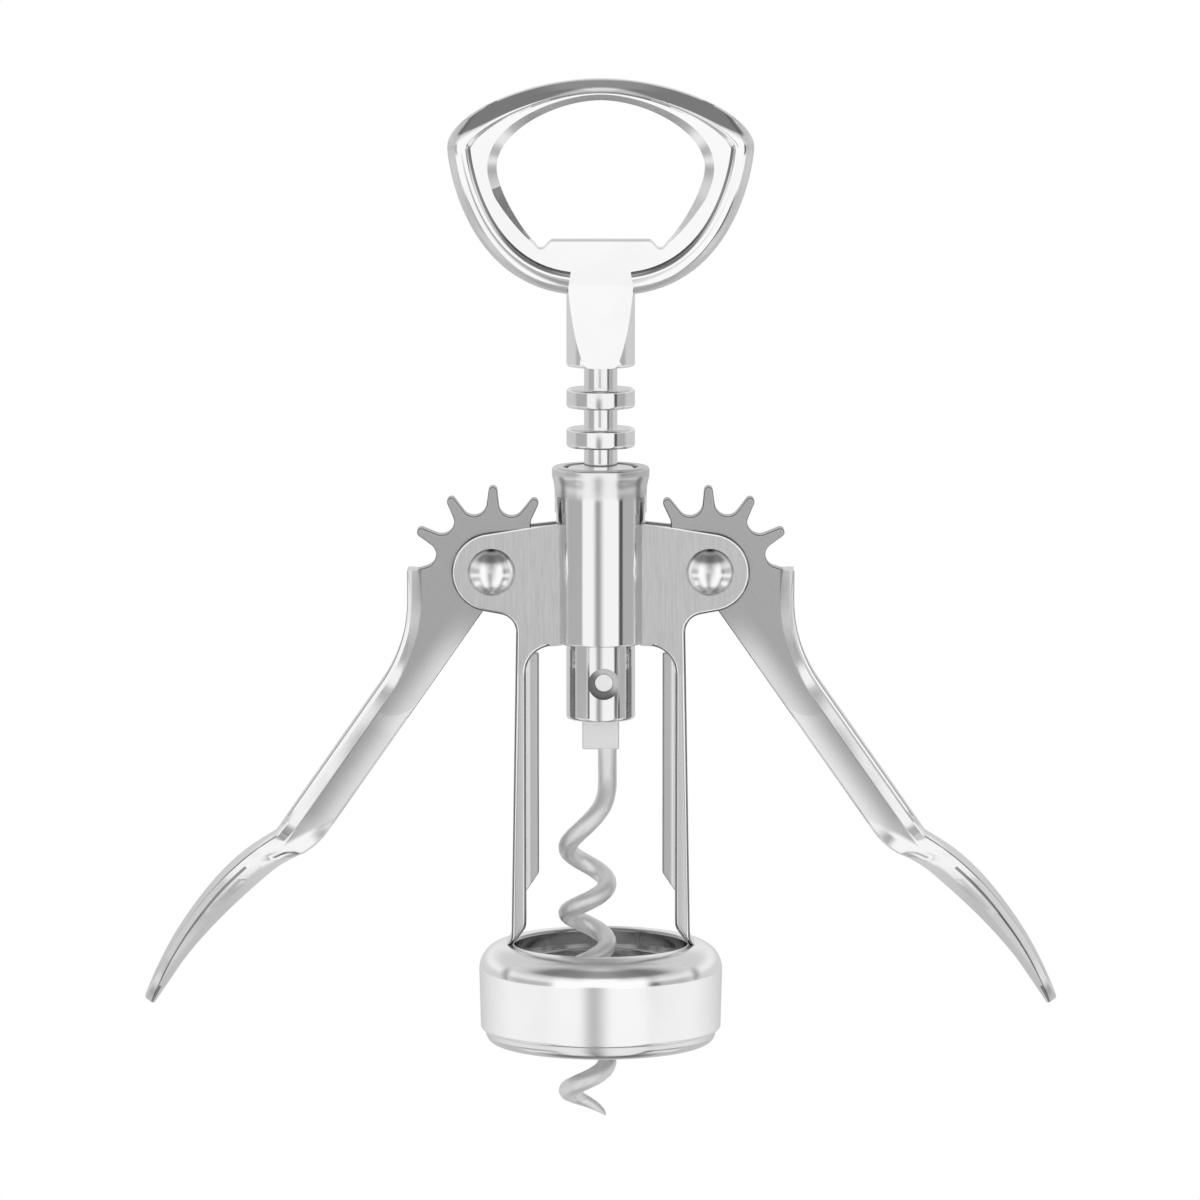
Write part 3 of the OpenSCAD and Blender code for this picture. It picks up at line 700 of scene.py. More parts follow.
# %% Bell
shoulder_r, opening_r, shell_in, shell_foot, draft = 4.4, 14.3, 18.2, 2.2, 0.25
roof_z = bell_h - 3
shell = (
    [(shell_in, shell_foot)]
    + arc((bell_r - draft - edge_r, shell_foot + edge_r), edge_r, -90, 0, 15)
    + arc((bell_r - shoulder_r, bell_h - shoulder_r), shoulder_r, 0, 90, 4)
    + arc((opening_r + edge_r, bell_h - edge_r), edge_r, 90, 180, 15)
    + [(opening_r, roof_z), (shell_in, roof_z)]
)
bell_shell = turned("bell_shell", [(r, 0, z) for r, z in shell], steps=160)
finish_piece(bell_shell, "frame", ["frame"], bell_bright)

# %% [markdown]
# The shoulder is softer than the side, because it rubs against other things in the drawer, and painted shade
# darkens the middle of its front and back. Inside the opening the metal carries painted shade.


# %% Shoulder and opening of the bell
def shoulder_recipe(x, y, z):
    """Duller than the side, with painted shade in the middle of the front and back, beside the opening."""
    painted_centre_shade = abs(x).ease(1, 9, 1.0, 0.0) * z.ease(bell_h - 1.2, bell_h - 0.3)
    return 1.0 - painted_centre_shade * 0.42, z.ease(roof_z, bell_h - 1, 0.17, 0.26), 1.0


shoulder_soft = painted("shoulder_soft", shoulder_recipe)
use_where(bell_shell, shoulder_soft, lambda p, n: p.z > bell_h - shoulder_r and n.z > 0.03)
# Painted shade inside the opening.
use_where(bell_shell, painted_inside_shade, lambda p, n: p.z > roof_z - 0.2 and p.xy.length < opening_r + 0.3)

# %% [markdown]
# A pressed liner closes the bell from below. It seats on the bottle's lip, and its shelf keeps the cork's
# way open. Its rolled lower edge stands in a little from the bell's side.

# %% Liner
lip_r, lip_round, bottle_r, cork_r, shelf, snug = 19.1, 1.6, 15.1, 12.25, 12, 0.02
lead_in, cork_round = 0.3, 0.4
liner_out, liner_top = shell_in - snug, roof_z - snug
liner_wall = (
    [(bottle_r, lead_in), (bottle_r + lead_in, 0)]
    + arc((lip_r - lip_round, lip_round), lip_round, -90, 0, 10)
    + [(lip_r, shell_foot), (liner_out, shell_foot), (liner_out, liner_top)]
    + arc((cork_r + cork_round, liner_top - cork_round), cork_round, 90, 180, 30)
    + [(cork_r, shelf), (bottle_r, shelf)]
)
liner = turned("liner", [(r, 0, z) for r, z in liner_wall], steps=160)
finish_piece(liner, "frame", ["bell_liner"], liner_satin)
# Painted shade inside the liner's bore.
use_where(liner, painted_inside_shade, lambda p, n: p.z > 4 and p.xy.length < cork_r + 0.5)

# %% [markdown]
# The rivets are upset on both sides of the cheeks, which leaves a shallow dome.


# %% Rivets
def rivet_recipe(x, y, z):
    """Bright, darker in a streak up from the middle, with a painted shade line round the edge, deeper above.
    """
    x, z = abs(x) - pivot_x, z - pivot_h
    darker_streak = abs(x).ease(0.1, 1.3, 1.0, 0.0) * z.ease(-2.0, 1.6)
    away = (x * x + z * z).root()
    line = away.ease(3.35, 3.6) * z.ease(-1, 2, 0.5, 1.0)
    return 1.0 - darker_streak * 0.55 - line * 0.4, 0.22, 1.0


rivet_bright = painted("rivet_bright", rivet_recipe)


def rivet(name, side, node):
    """A headed pin through the cheek at one pivot."""
    head_r, head_h, shank_r = 3.9, 2.0, 2.5
    ball = (head_r ** 2 + head_h ** 2) / (2 * head_h)
    tilt = math.degrees(math.acos((ball - head_h) / ball))
    face = frame_t / 2
    dome = [(r, -face - rise) for r, rise in arc((0, head_h - ball), ball, 90, 90 - tilt, 4)]
    dome[0] = (0, dome[0][1])
    seated = snug - face
    near = dome + [(head_r, seated), (shank_r, seated)]
    section = near + [(r, -y) for r, y in reversed(near)]
    at = (side * pivot_x, 0, pivot_h)
    points = [(at[0] + r, y, at[2]) for r, y in section]
    piece = turned(name, points, centre=at, axis=(0, 1, 0), steps=64, closed=False)
    return finish_piece(piece, "frame", [node], rivet_bright, angle=50)


rivet("left_rivet", -1, "rivet_left")
rivet("right_rivet", 1, "rivet_right")

# %% [markdown]
# ## Rack
#
# The rack is a stack of rings on a slim core. The rings look the same from every side, so the levers mesh
# with them while the handle turns the screw inside.

# %% Rack
ring_r, core_r, ring_h, pitch, ring_count, rod_r = 5.65, 2.75, 3.25, 6.54, 6, 1.6
foot, head = bottom("rack"), top("rack")
rack_line = [(rod_r, foot), (core_r, foot)]
for k in range(ring_count):
    z = boss_top + (k + 1) * pitch
    rack_line += [(core_r, z - ring_h)]
    rack_line += arc((ring_r - edge_r, z - ring_h + edge_r), edge_r, -90, 0, 15)
    rack_line += arc((ring_r - edge_r, z - edge_r), edge_r, 0, 90, 15)
    rack_line += [(core_r, z)]
rack_line += [(core_r, head), (rod_r, head)]
rack = turned("rack_rings", [(r, 0, z) for r, z in rack_line])
finish_piece(rack, "rack", ["rack"], rack_bright)

# %% [markdown]
# ## Spindle
#
# The spindle runs up through the rack into the handle. Its boss holds the worm's flat tang with a cross
# pin, whose ends sit in small recesses. Each recess is cut with a short rod.

# %% Spindle
boss_r, pin_x, pin_r, recess_r, recess_d = 5.7, 0.5, 1.65, 2.6, 1.75
pin_z = boss_foot + 6.4
spindle_r, spindle_top = rod_r - 0.05, neck_foot + 9
boss_line = (
    [(0, boss_foot)]
    + arc((boss_r - edge_r, boss_foot + edge_r), edge_r, -90, 0, 15)
    + arc((boss_r - edge_r, boss_top - edge_r), edge_r, 0, 90, 15)
    + [(spindle_r, boss_top), (spindle_r, spindle_top), (0, spindle_top)]
)
spindle = turned("spindle_boss", [(r, 0, z) for r, z in boss_line], closed=False)
for side in (-1, 1):
    cut_away(spindle, rod("recess", recess_r, 2 * recess_d, (pin_x, side * boss_r, pin_z), "Y", 48))
finish_piece(spindle, "screw", ["spindle"], spindle_bright)


def recess_recipe(x, y, z):
    """Dull, and darker towards the lower left, where the recess lies in its own shade."""
    return (x + z - (pin_x + pin_z)).ease(-1.2, 1.8, 0.25, 0.8), 0.3, 0.5


def in_recess(place, normal):
    """The floor and the wall of the two recesses."""
    return abs(place.y) < boss_r - 0.35 and math.hypot(place.x - pin_x, place.z - pin_z) < recess_r + 0.02


use_where(spindle, painted("recess_dull", recess_recipe), in_recess)

# %% [markdown]
# The pin is a short rod with rounded ends. It stands a little proud of the recesses' floors, but not of the
# boss.

# %% Cross pin
pin_len = 2 * boss_r - 3.1
pin = rod("cross_pin", pin_r - 0.01, pin_len, (pin_x, 0, pin_z), "Y", 48)
round_edges(pin, 0.35)
finish_piece(pin, "screw", ["worm_pin"], pin_satin)

# %% [markdown]
# ## Worm
#
# The worm is one round wire. It leaves the tang straight, and a smooth bend leads it into the coil. The
# first turn is drawn out, so it drops faster, and the rest winds down at a steady pitch to a ground point.
# Each ring of the loft stands square to the wire.

# %% Path of the worm
wire_r, wire_sides, coil_r, coil_x, turns, worm_pitch = 1.55, 16, 3.3, -2.2, 4.93, 10
tang_w, tang_t = 6.1, 2.1
tang_foot, tang_top = boss_foot - 5.1, boss_top - 3.5
coil_start, drawn_out = 6.4, 6.2
lead_end, lead_start = 50, 2.6
wire_x = coil_x + coil_r


def coil_point(angle):
    """The middle of the wire, so many degrees along the coil."""
    left = ((360 - angle) / 360) ** 2.6 if angle < 360 else 0.0
    x, y = polar(coil_r, -angle)
    drop = coil_start + drawn_out * (1 - left) + worm_pitch * angle / 360
    return Vector((coil_x + x, y, tang_foot - drop))


def lead_point(share):
    """The smooth bend between the straight wire and the coil."""
    start, end = Vector((wire_x, 0, tang_foot - lead_start)), coil_point(lead_end)
    reach = (end - start).length * 1.1
    leave = (coil_point(lead_end + 1) - end).normalized() * reach
    square, cube = share ** 2, share ** 3
    along = start * (2 * cube - 3 * square + 1) + end * (3 * square - 2 * cube)
    return along + Vector((0, 0, -reach)) * (cube - 2 * square + share) + leave * (cube - square)


def wire_ring(centre, ahead, angle, radius):
    """A round section of the wire, square to the way ahead."""
    way = (ahead - centre).normalized()
    out = Vector((*polar(1, -angle), 0))
    across = (out - way * out.dot(way)).normalized()
    up = way.cross(across)
    spots = [polar(radius, 360 * j / wire_sides) for j in range(wire_sides)]
    return [centre + a * across + b * up for a, b in spots]


# %% [markdown]
# The rings run from inside the tang, where the wire is still hammered flat, through the bend and the coil.
# At the end of the coil they shrink to the point.

# %% Worm
last = turns * 360
coil_steps, lead_steps, point_angle, point_r = 110, 10, 165, 0.15
rings = []
for drop, flat in ((-1.2, 0.62), (0.1, 0.66), (1.2, 0.85), (lead_start, 1)):
    spots = [polar(wire_r, -360 * j / wire_sides) for j in range(wire_sides)]
    rings.append([Vector((wire_x + x, y * flat, tang_foot - drop)) for x, y in spots])
for k in range(1, lead_steps):
    share = k / lead_steps
    rings.append(wire_ring(lead_point(share), lead_point(share + 0.01), lead_end * share, wire_r))
for k in range(coil_steps):
    angle = lead_end + (last - lead_end) * k / coil_steps
    radius = wire_r * math.sqrt(min(1, (last - angle) / point_angle))
    rings.append(wire_ring(coil_point(angle), coil_point(angle + 1), angle, radius))
rings.append(wire_ring(coil_point(last), coil_point(last + 1), last, point_r))
worm = loft("worm_wire", rings)
finish_piece(worm, "screw", ["worm"], worm_satin, angle=60)

# %% [markdown]
# The tang is the flat hammered end of the same wire, held in the boss's slot. It is a plate with rounded
# edges.

# %% Tang
half_w = tang_w / 2
corners = [(-half_w, tang_top), (-half_w, tang_foot), (half_w, tang_foot), (half_w, tang_top)]
tang = cut_plate("worm_tang", corners, tang_t)
round_edges(tang, 0.3)
finish_piece(tang, "screw", ["worm"], worm_satin)

# %% [markdown]
# ## Handle
#
# The handle is one casting: a thick rounded rim round a thinner flat, with a bottle opener at its foot. Two
# curves describe it, the outer edge and the opening. Each is drawn for the right half and then mirrored.

# %% Curves of the loop
loop_r, loop_up, loop_down = 25.2, 11.35, 24.15
loop_foot = neck_foot + 11.9
loop_mid = loop_foot + loop_down
side_w, top_w, opening_drop = 8.1, 3.6, 3.3
sill_z, sill_half, throat_half, throat_drop = loop_foot + 9.1, 8.2, 10.9, 0.5


def loop_edge(inset, count=30):
    """Right half of the outer edge, moved in by an inset, from the top to the foot."""
    upper = bezier((0, 1), (0.51, 1), (1, 0.46), (1, 0), count)
    lower = bezier((1, 0), (1, 0.09), (0.9, 0.91), (0.22, 1), count, 1)
    wide, up, down = loop_r - inset, loop_up - inset, loop_down - inset
    return [(wide * x, loop_mid + up * z) for x, z in upper] + [
        (wide * x, loop_mid - down * z) for x, z in lower]


def opening_edge():
    """Right half of the opening, from the top round the notch to the middle of the opener's edge."""
    middle, wide = loop_mid - opening_drop, loop_r - side_w
    up, down = loop_up + opening_drop - top_w, middle - sill_z + throat_drop
    upper = bezier((0, 1), (0.43, 1), (1, 0.54), (1, 0), 24)
    lower = bezier((1, 0), (1, 0.28), (0.78, 0.8), (throat_half / wide, 1), 24, 1)
    line = [(wide * x, middle + up * z) for x, z in upper]
    line += [(wide * x, middle - down * z) for x, z in lower]
    notch_r = 0.85
    notch = run([(throat_half, sill_z - throat_drop, 0), (sill_half + 1.7, sill_z - 1.9, notch_r),
                 (sill_half, sill_z, notch_r), (0, sill_z, 0)], 12)
    return line + notch[1:]


def whole(half):
    """Both halves of a closed outline, without doubled points on the middle plane."""
    left = [(-x, z) for x, z in reversed(half) if abs(x) > 1e-6]
    return half + left


def spread(line, distance):
    """A closed outline moved outwards by a distance that may vary from point to point."""
    moved = []
    for i, (x, z) in enumerate(line):
        (ax, az), (bx, bz) = line[i - 1], line[(i + 1) % len(line)]
        along = Vector((bx - ax, bz - az)).normalized()
        moved.append((x - along.y * distance(x, z), z + along.x * distance(x, z)))
    return moved


# %% [markdown]
# The flat is a plate with a hole. Its outer wall and the bevelled wall of the opening are two short lofts.
# Then the two edge loops on each side are selected and filled, which leaves the hole open.

# %% Flat of the loop
roll_w, roll_top_w, roll_half, plate_half, edge_half = 4.2, 2.5, 2.7, 1.7, 0.6
rim_line = whole(loop_edge(roll_w / 3))
hole = whole(opening_edge())


def bevel_width(x, z):
    """Wide along the sides, narrower over the top and nearly nothing along the opener's edge."""
    side = max(0.0, min(1.0, (z - sill_z + throat_drop) / 8))
    over = smooth((z - loop_mid) / (loop_up - 3))
    return 0.25 + side * (1.25 - 0.5 * over)


def at_depth(line, y):
    """An outline's points at one depth."""
    return [(x, y, z) for x, z in line]


wide_hole = spread(hole, bevel_width)
outer_wall = loft("loop_flat", [at_depth(rim_line, y) for y in (-plate_half, plate_half)], ends=False)
inner_wall = loft("loop_hole", [
    at_depth(wide_hole, -plate_half), at_depth(hole, -edge_half),
    at_depth(hole, edge_half), at_depth(wide_hole, plate_half),
], ends=False)
take(inner_wall)
outer_wall.select_set(True)
bpy.context.view_layer.objects.active = outer_wall
bpy.ops.object.join()
loop_flat = bpy.context.object
bpy.ops.object.mode_set(mode="EDIT")
for y in (-plate_half, plate_half):
    bpy.ops.mesh.select_all(action="DESELECT")
    mesh = bmesh.from_edit_mesh(loop_flat.data)
    for edge in mesh.edges:
        edge.select = all(abs(vertex.co.y / MM - y) < 0.01 for vertex in edge.verts)
    bmesh.update_edit_mesh(loop_flat.data)
    bpy.ops.mesh.fill(use_beauty=False)
tidy_faces()
put_down()
finish_piece(loop_flat, "screw", ["handle"], bevel_dull, handle_bright, angle=28)


def in_shade(place, normal):
    """The bevel on the left of the opening, above the sill, which faces the dark side of a room."""
    return on_edge(normal, 0.1, 0.95) and place.x < 0 and sill_z < place.z < loop_mid - 6.5


# Painted shade on the bevel left of the opening.
use_where(loop_flat, painted_shade_dark, in_shade)

# %% [markdown]
# The rim is one closed loop of points, carried along the outer edge from one side of the neck to the other.
# Its crest lies nearer the inside, so it falls off slowly outwards. Over the top the rim is slimmer, and
# its outer side is a slanted flat.

# %% Rim of the loop
half_path = loop_edge(0)
path = [(-x, z) for x, z in reversed(half_path)] + half_path[1:]
rim_sides = 24
rim_rings = []
for i, (x, z) in enumerate(path):
    (ax, az), (bx, bz) = path[max(0, i - 1)], path[min(len(path) - 1, i + 1)]
    along = Vector((bx - ax, bz - az)).normalized()
    over = smooth(1 - abs(x) / loop_r) if z > loop_mid else 0.0
    width = roll_w + (roll_top_w - roll_w) * over
    crest = width * (0.62 + 0.2 * over)
    slant = smooth((1 - abs(x) / loop_r) / 0.22) if z > loop_mid else 0.0
    ring = []
    for j in range(rim_sides):
        c, h = polar(1, 360 * j / rim_sides)
        r = crest - c * crest if c > 0 else crest - c * (width - crest)
        flat = math.copysign(0.48 + 0.46 * r / crest, h) if c > 0 and j else h
        ring.append((x + along.y * r, roll_half * (h + (flat - h) * slant), z - along.x * r))
    rim_rings.append(ring)
loop_rim = loft("loop_rim", rim_rings)
finish_piece(loop_rim, "screw", ["handle"], handle_bright, angle=60)

# %% [markdown]
# The rim's outer side below the widest place carries a painted grey shade. The groove where the rim meets
# the flat carries painted dark shade.


# %% Metals of the rim
def facing_in(place, normal):
    """From 1 where a face looks at the middle of the loop to -1 where it looks away."""
    return normal.xz.dot((Vector((0, loop_mid)) - place.xz).normalized())


# Painted grey shade on the rim's outward faces below the widest place.
use_where(loop_rim, rim_painted_shade, lambda p, n: p.z < loop_mid + 7 and facing_in(p, n) < -0.55)
# Painted shade in the groove where the rim meets the flat.
use_where(loop_rim, painted_shade_dark, lambda p, n: abs(p.y) > plate_half - 0.1 and facing_in(p, n) > 0.72)

# %% [markdown]
# The neck starts as a plain cylinder. Two slanted cuts, one in front and one behind, thin it towards the
# loop and leave the tall tongue-shaped facets.

# %% Neck
neck_r, neck_len, facet_y = 5.65, 15.4, 4.85
neck = rod("handle_neck", neck_r, neck_len, (0, 0, neck_foot + neck_len / 2), "Z", 96)
round_edges(neck, 0.5)
take(neck)
bpy.ops.object.mode_set(mode="EDIT")
low_z, high_z = neck_foot + neck_r - facet_y, loop_foot + 1.6
for side in (-1, 1):
    slope = Vector((0, side * (high_z - low_z), facet_y - plate_half))
    bpy.ops.mesh.select_all(action="SELECT")
    bpy.ops.mesh.bisect(
        plane_co=Vector((0, side * facet_y, low_z)) * MM, plane_no=slope.normalized(),
        use_fill=True, clear_outer=True,
    )
tidy_faces()
put_down()
finish_piece(neck, "screw", ["handle"], handle_bright, angle=30)

# %% [markdown]
# ## Levers
#
# Each lever is one casting too: a sector gear, a ribbed arm and a thumb pad. The left lever is modelled in
# its folded place, with the pivot as the origin, and then swung out. The right one is its mirror image.
#
# The gear's outline is built tooth by tooth: a small round tip, two straight flanks and a round hollow.

# %% Gear outline
tooth_angle, tooth_count = 31, 7
tooth_tip_r, tooth_root_r, tip_r, root_r, hub_r = 0.72, 2.1, 13.97, 9.47, 6.6
gear_t, rest_angle, pivot_bore = 3.8, 35, 2.55
arm_w, arm_in, elbow_r, elbow_d, elbow_a, inset = 7.0, 2.65, 24, 25.6, 35, 0.7
arm_out, valley_r = arm_w - arm_in, root_r + tooth_root_r
elbow = (-arm_out - elbow_r, -elbow_d)
arm_clear, plate_len, lever_len, bevel_w, shoulder_gap = 12, 8, 91.45, 2.3, 1.3
arm_end = pivot_h - bell_h - arm_clear

tip_spot = Vector((tip_r - tooth_tip_r, 0)) - Vector(polar(valley_r, tooth_angle / 2))
flank = math.degrees(math.atan2(tip_spot.y, tip_spot.x)
                     - math.acos((tooth_root_r + tooth_tip_r) / tip_spot.length))
into, out = 360 + flank - tooth_angle / 2, tooth_angle / 2 - flank


def tooth(at):
    """The round tip of a tooth at an angle, from flank to flank."""
    return arc(polar(tip_r - tooth_tip_r, at), tooth_tip_r, at - flank - 180, at + flank + 180, 12)


def hollow(at, first, final):
    """The round hollow at an angle, from one flank to the next."""
    return arc(polar(valley_r, at), tooth_root_r, at + first, at + final, 9)


# %% [markdown]
# Past the last tooth the plate runs into the arm's shoulder. Its corner lies where the arm's edge comes to
# a set gap from the last hollow, which is a line cut with a circle.

# %% Where the arm begins
end_hollow = (tooth_count - 0.5) * tooth_angle
way = Vector(polar(1, 90 + elbow_a))
base = Vector(elbow) + Vector(polar(elbow_r + inset, elbow_a))
from_hollow = base - Vector(polar(valley_r, end_hollow))
near = from_hollow.dot(way)
keep = tooth_root_r + shoulder_gap
shoulder_len = -near - math.sqrt(max(0, near ** 2 - from_hollow.length ** 2 + keep ** 2))
corner = tuple(base + way * shoulder_len)
spot = Vector(corner) - Vector(polar(valley_r, end_hollow))
corner_a = math.degrees(math.atan2(spot.y, spot.x) + math.acos(tooth_root_r / spot.length)) - end_hollow
corner_a += 360 if corner_a < into - 360 else 0

# %% [markdown]
# The whole outline goes round the teeth, down the elbow to a thin plate inside the arm, back up the arm's
# inner edge and round the hub.

# %% Whole outline of the gear
gear_line = hollow(-tooth_angle / 2, 180, out)
for k in range(tooth_count - 1):
    gear_line += tooth(k * tooth_angle) + hollow((k + 0.5) * tooth_angle, into, out)
gear_line += tooth((tooth_count - 1) * tooth_angle) + hollow(end_hollow, into, corner_a) + [corner]
gear_line += arc(elbow, elbow_r + inset, elbow_a, 0, 4)
gear_line += [(inset - arm_out, plate_len - arm_end), (arm_in - inset, plate_len - arm_end),
              (arm_in - inset, -elbow_d - 2 * bevel_w), (arm_in, -elbow_d - bevel_w)]
heel_a = -tooth_angle / 2 - math.degrees(math.acos(hub_r / root_r))
gear_line += arc((0, 0), hub_r, -math.degrees(math.acos(arm_in / hub_r)), heel_a, 9)
print(f"gear outline: {len(gear_line)} points")

# %% [markdown]
# The arm's section has a thin outer edge, a wide bevel, a sunk web and a low inner rib. Towards the tip it
# melts into the pad: a slightly crowned face with a thin rim and a rounded underside.

# %% Section of the arm
flange_w, rib_w, web_sunk, rib_round = 6.6, 4.3, 0.2, 0.35
web_low, web_top, melt_len = gear_t / 2 - web_sunk, gear_t / 2 + 0.1, 12


def arm_half(wide, rib, web):
    """Half section as distance in from the outer edge and height; the web is a shallow dish."""
    w = flange_w / 2
    foot = bevel_w + web_sunk * (bevel_w - 0.6) / (w - gear_t / 2)
    rise = rib - web
    dish = [(foot + (wide - rib_round - foot) * f, web + rise * f * f) for f in (0, 0.2, 0.45, 0.72, 1)]
    return [(0, 0), (0, w - 0.45), (0.13, w - 0.13), (0.45, w), (0.75, w - 0.04)] + dish + [
        (wide, rib - rib_round), (wide, 0)]


# %% [markdown]
# The pad's two edges are worked out apart. The folded pad's inner edge clears the bell, and its outer edge
# swells to a crest and falls to the tip. Its width grows quickly from the arm's and ends round.

# %% Section of the pad
bell_clear, pad_t, pad_w, pad_rim, pad_tip = 2.45, 3.8, 13, 1.3, 14.2
pad_inner_top = bell_r + bell_clear - pivot_x
pad_outer_top = pad_inner_top + pad_t
pad_start = arm_end + 6
pad_run = lever_len - pad_tip - pad_start
inner_peak = lever_len - pad_tip * 0.58


def pad_half(deep, w):
    """Half section of the pad, from a crowned face over its rim to the round underside."""
    rim = min(deep * 0.8, pad_rim)
    front = [(0, 0), (0.08, 0.5 * w), (0.15, 0.75 * w), (0.22, w - 0.15), (0.4, w), (rim, w)]
    shares = (0.993, 0.88, 0.7, 0.5, 0.25, 0)
    return front + [(rim + (deep - rim) * math.sqrt(1 - f * f), f * w) for f in shares]


def pad_outer(d):
    """Place of the outer edge, at a distance below the pivot."""
    u = (d - pad_start) / pad_run - 1
    if u < -1:
        return arm_out
    return pad_outer_top - (pad_outer_top - arm_out) * abs(u) ** (2.4 if u < 0 else 1.9)


def pad_inner(d):
    """Place of the inner edge, at a distance below the pivot."""
    depth = max(inner_peak - d, (d - inner_peak) * 0.3) / (inner_peak - arm_end)
    return pad_inner_top - (pad_inner_top + arm_in) * depth ** 1.6


def pad_width(share):
    """Half the pad's width, at a share of the way from the arm's end to the tip."""
    full = flange_w + (pad_w - flange_w) * smooth(share / 0.42)
    return full / 2 * math.sqrt(1 - max(0, (share - 0.8) / 0.215) ** 2)


# %% [markdown]
# Each ring of the loft is a half section and its mirror image, laid out from a place in a direction. Past
# the arm's end the section eases from the arm's to the pad's.


# %% Rings of the lever
def full_ring(half_section, at, way):
    """Both halves of a section, laid out from a place in a direction."""
    both = half_section + [(d, -y) for d, y in reversed(half_section[1:-1])]
    return [(at[0] + way[0] * d, y, at[1] + way[1] * d) for d, y in both]


def shoulder_ring(angle, along):
    """A ring round the elbow's bend, or some way past its upper end."""
    base, ahead = polar(elbow_r, angle), polar(along, angle + 90)
    at = (elbow[0] + base[0] + ahead[0], elbow[1] + base[1] + ahead[1])
    return full_ring(arm_half(arm_w - inset, web_low, web_low), at, polar(1, angle))


def pad_ring(share):
    """A ring at a share of the way from the arm's end to the tip."""
    d = arm_end + (lever_len - arm_end) * share
    outer = pad_outer(d)
    ease = smooth((d - arm_end) / melt_len)
    arm = arm_half(arm_w, rib_w / 2, web_top)
    pad = pad_half(outer - pad_inner(d), pad_width(share))
    mixed = [tuple(p * (1 - ease) + q * ease for p, q in zip(a, b)) for a, b in zip(arm, pad)]
    return full_ring(mixed, (-outer, -d), (1, 0))


# %% [markdown]
# The gear plate and the arm are drawn folded, then swung by the rest angle and moved to their pivot. The
# joint turns them round that same line, so the swing is exact.


# %% Left lever
def swing_out(piece):
    """Swings a folded piece out round the left pivot and keeps its object at the origin."""
    take(piece)
    bpy.ops.object.mode_set(mode="EDIT")
    bpy.ops.mesh.select_all(action="SELECT")
    turn = Matrix.Rotation(math.radians(rest_angle), 4, "Y")
    move = Matrix.Translation(Vector((-pivot_x, 0, pivot_h)) * MM)
    mesh = bmesh.from_edit_mesh(piece.data)
    mesh.transform(move @ turn)
    bmesh.update_edit_mesh(piece.data)
    put_down()


gear = cut_plate("gear_left", gear_line, gear_t)
round_edges(gear, 0.3, 50)
cut_away(gear, rod("pivot_bore", pivot_bore, 10, (0, 0, 0), "Y", 48))
elbow_steps, grow_len, grow_steps, pad_steps, pad_rings = 12, 7, 6, 54, 45
tip_share, tip_steps = 0.1665, 12
plate_rib, full_rib = gear_t / 2, rib_w / 2
arm_rings = [shoulder_ring(elbow_a, shoulder_len + 0.3)]
arm_rings += [shoulder_ring(elbow_a * k / elbow_steps, 0) for k in range(elbow_steps, 0, -1)]
for k in range(grow_steps + 1):
    grown = smooth(k / grow_steps)
    half = arm_half(arm_w, plate_rib + (full_rib - plate_rib) * grown, web_low + (web_top - web_low) * grown)
    arm_rings.append(full_ring(half, (-arm_out, -elbow_d - grow_len * k / grow_steps), (1, 0)))
straight = arm_half(arm_w, full_rib, web_top)
arm_rings += [full_ring(straight, (-arm_out, -d), (1, 0)) for d in (36, 40, 44, 48)]
arm_rings += [pad_ring(k / pad_steps) for k in range(pad_rings)]
arm_rings += [pad_ring(1 - tip_share * (k / tip_steps) ** 1.6) for k in range(tip_steps - 1, -1, -1)]
arm = loft("arm_left", arm_rings)
for piece in (gear, arm):
    swing_out(piece)

# %% [markdown]
# A mirrored mesh is turned inside out, so the copy's normals are worked out again.


# %% Right lever
def mirror_copy(piece, name):
    """Duplicates a piece, mirrors the copy across the middle plane and turns its faces out again."""
    take(piece)
    bpy.ops.object.duplicate()
    copy = bpy.context.object
    copy.name = copy.data.name = name
    bpy.ops.object.mode_set(mode="EDIT")
    bpy.ops.mesh.select_all(action="SELECT")
    bpy.ops.transform.resize(value=(-1, 1, 1), center_override=(0, 0, 0))
    bpy.ops.mesh.normals_make_consistent(inside=False)
    put_down()
    return copy


right_gear, right_arm = mirror_copy(gear, "gear_right"), mirror_copy(arm, "arm_right")

# %% [markdown]
# The lever's metal is worked out in the folded lever's own directions, across and along. The sunk web is
# satin, with painted shade towards the bevel and a painted highlight line where the two meet. The pad is
# satin from wear.


# %% Metal of the levers
def folded(x, z, side):
    """A place measured from the pivot, turned to the folded lever's directions: across it and along it."""
    c, s = polar(1, rest_angle)
    return x * (c * side) + z * s, x * (s * side) - z * c


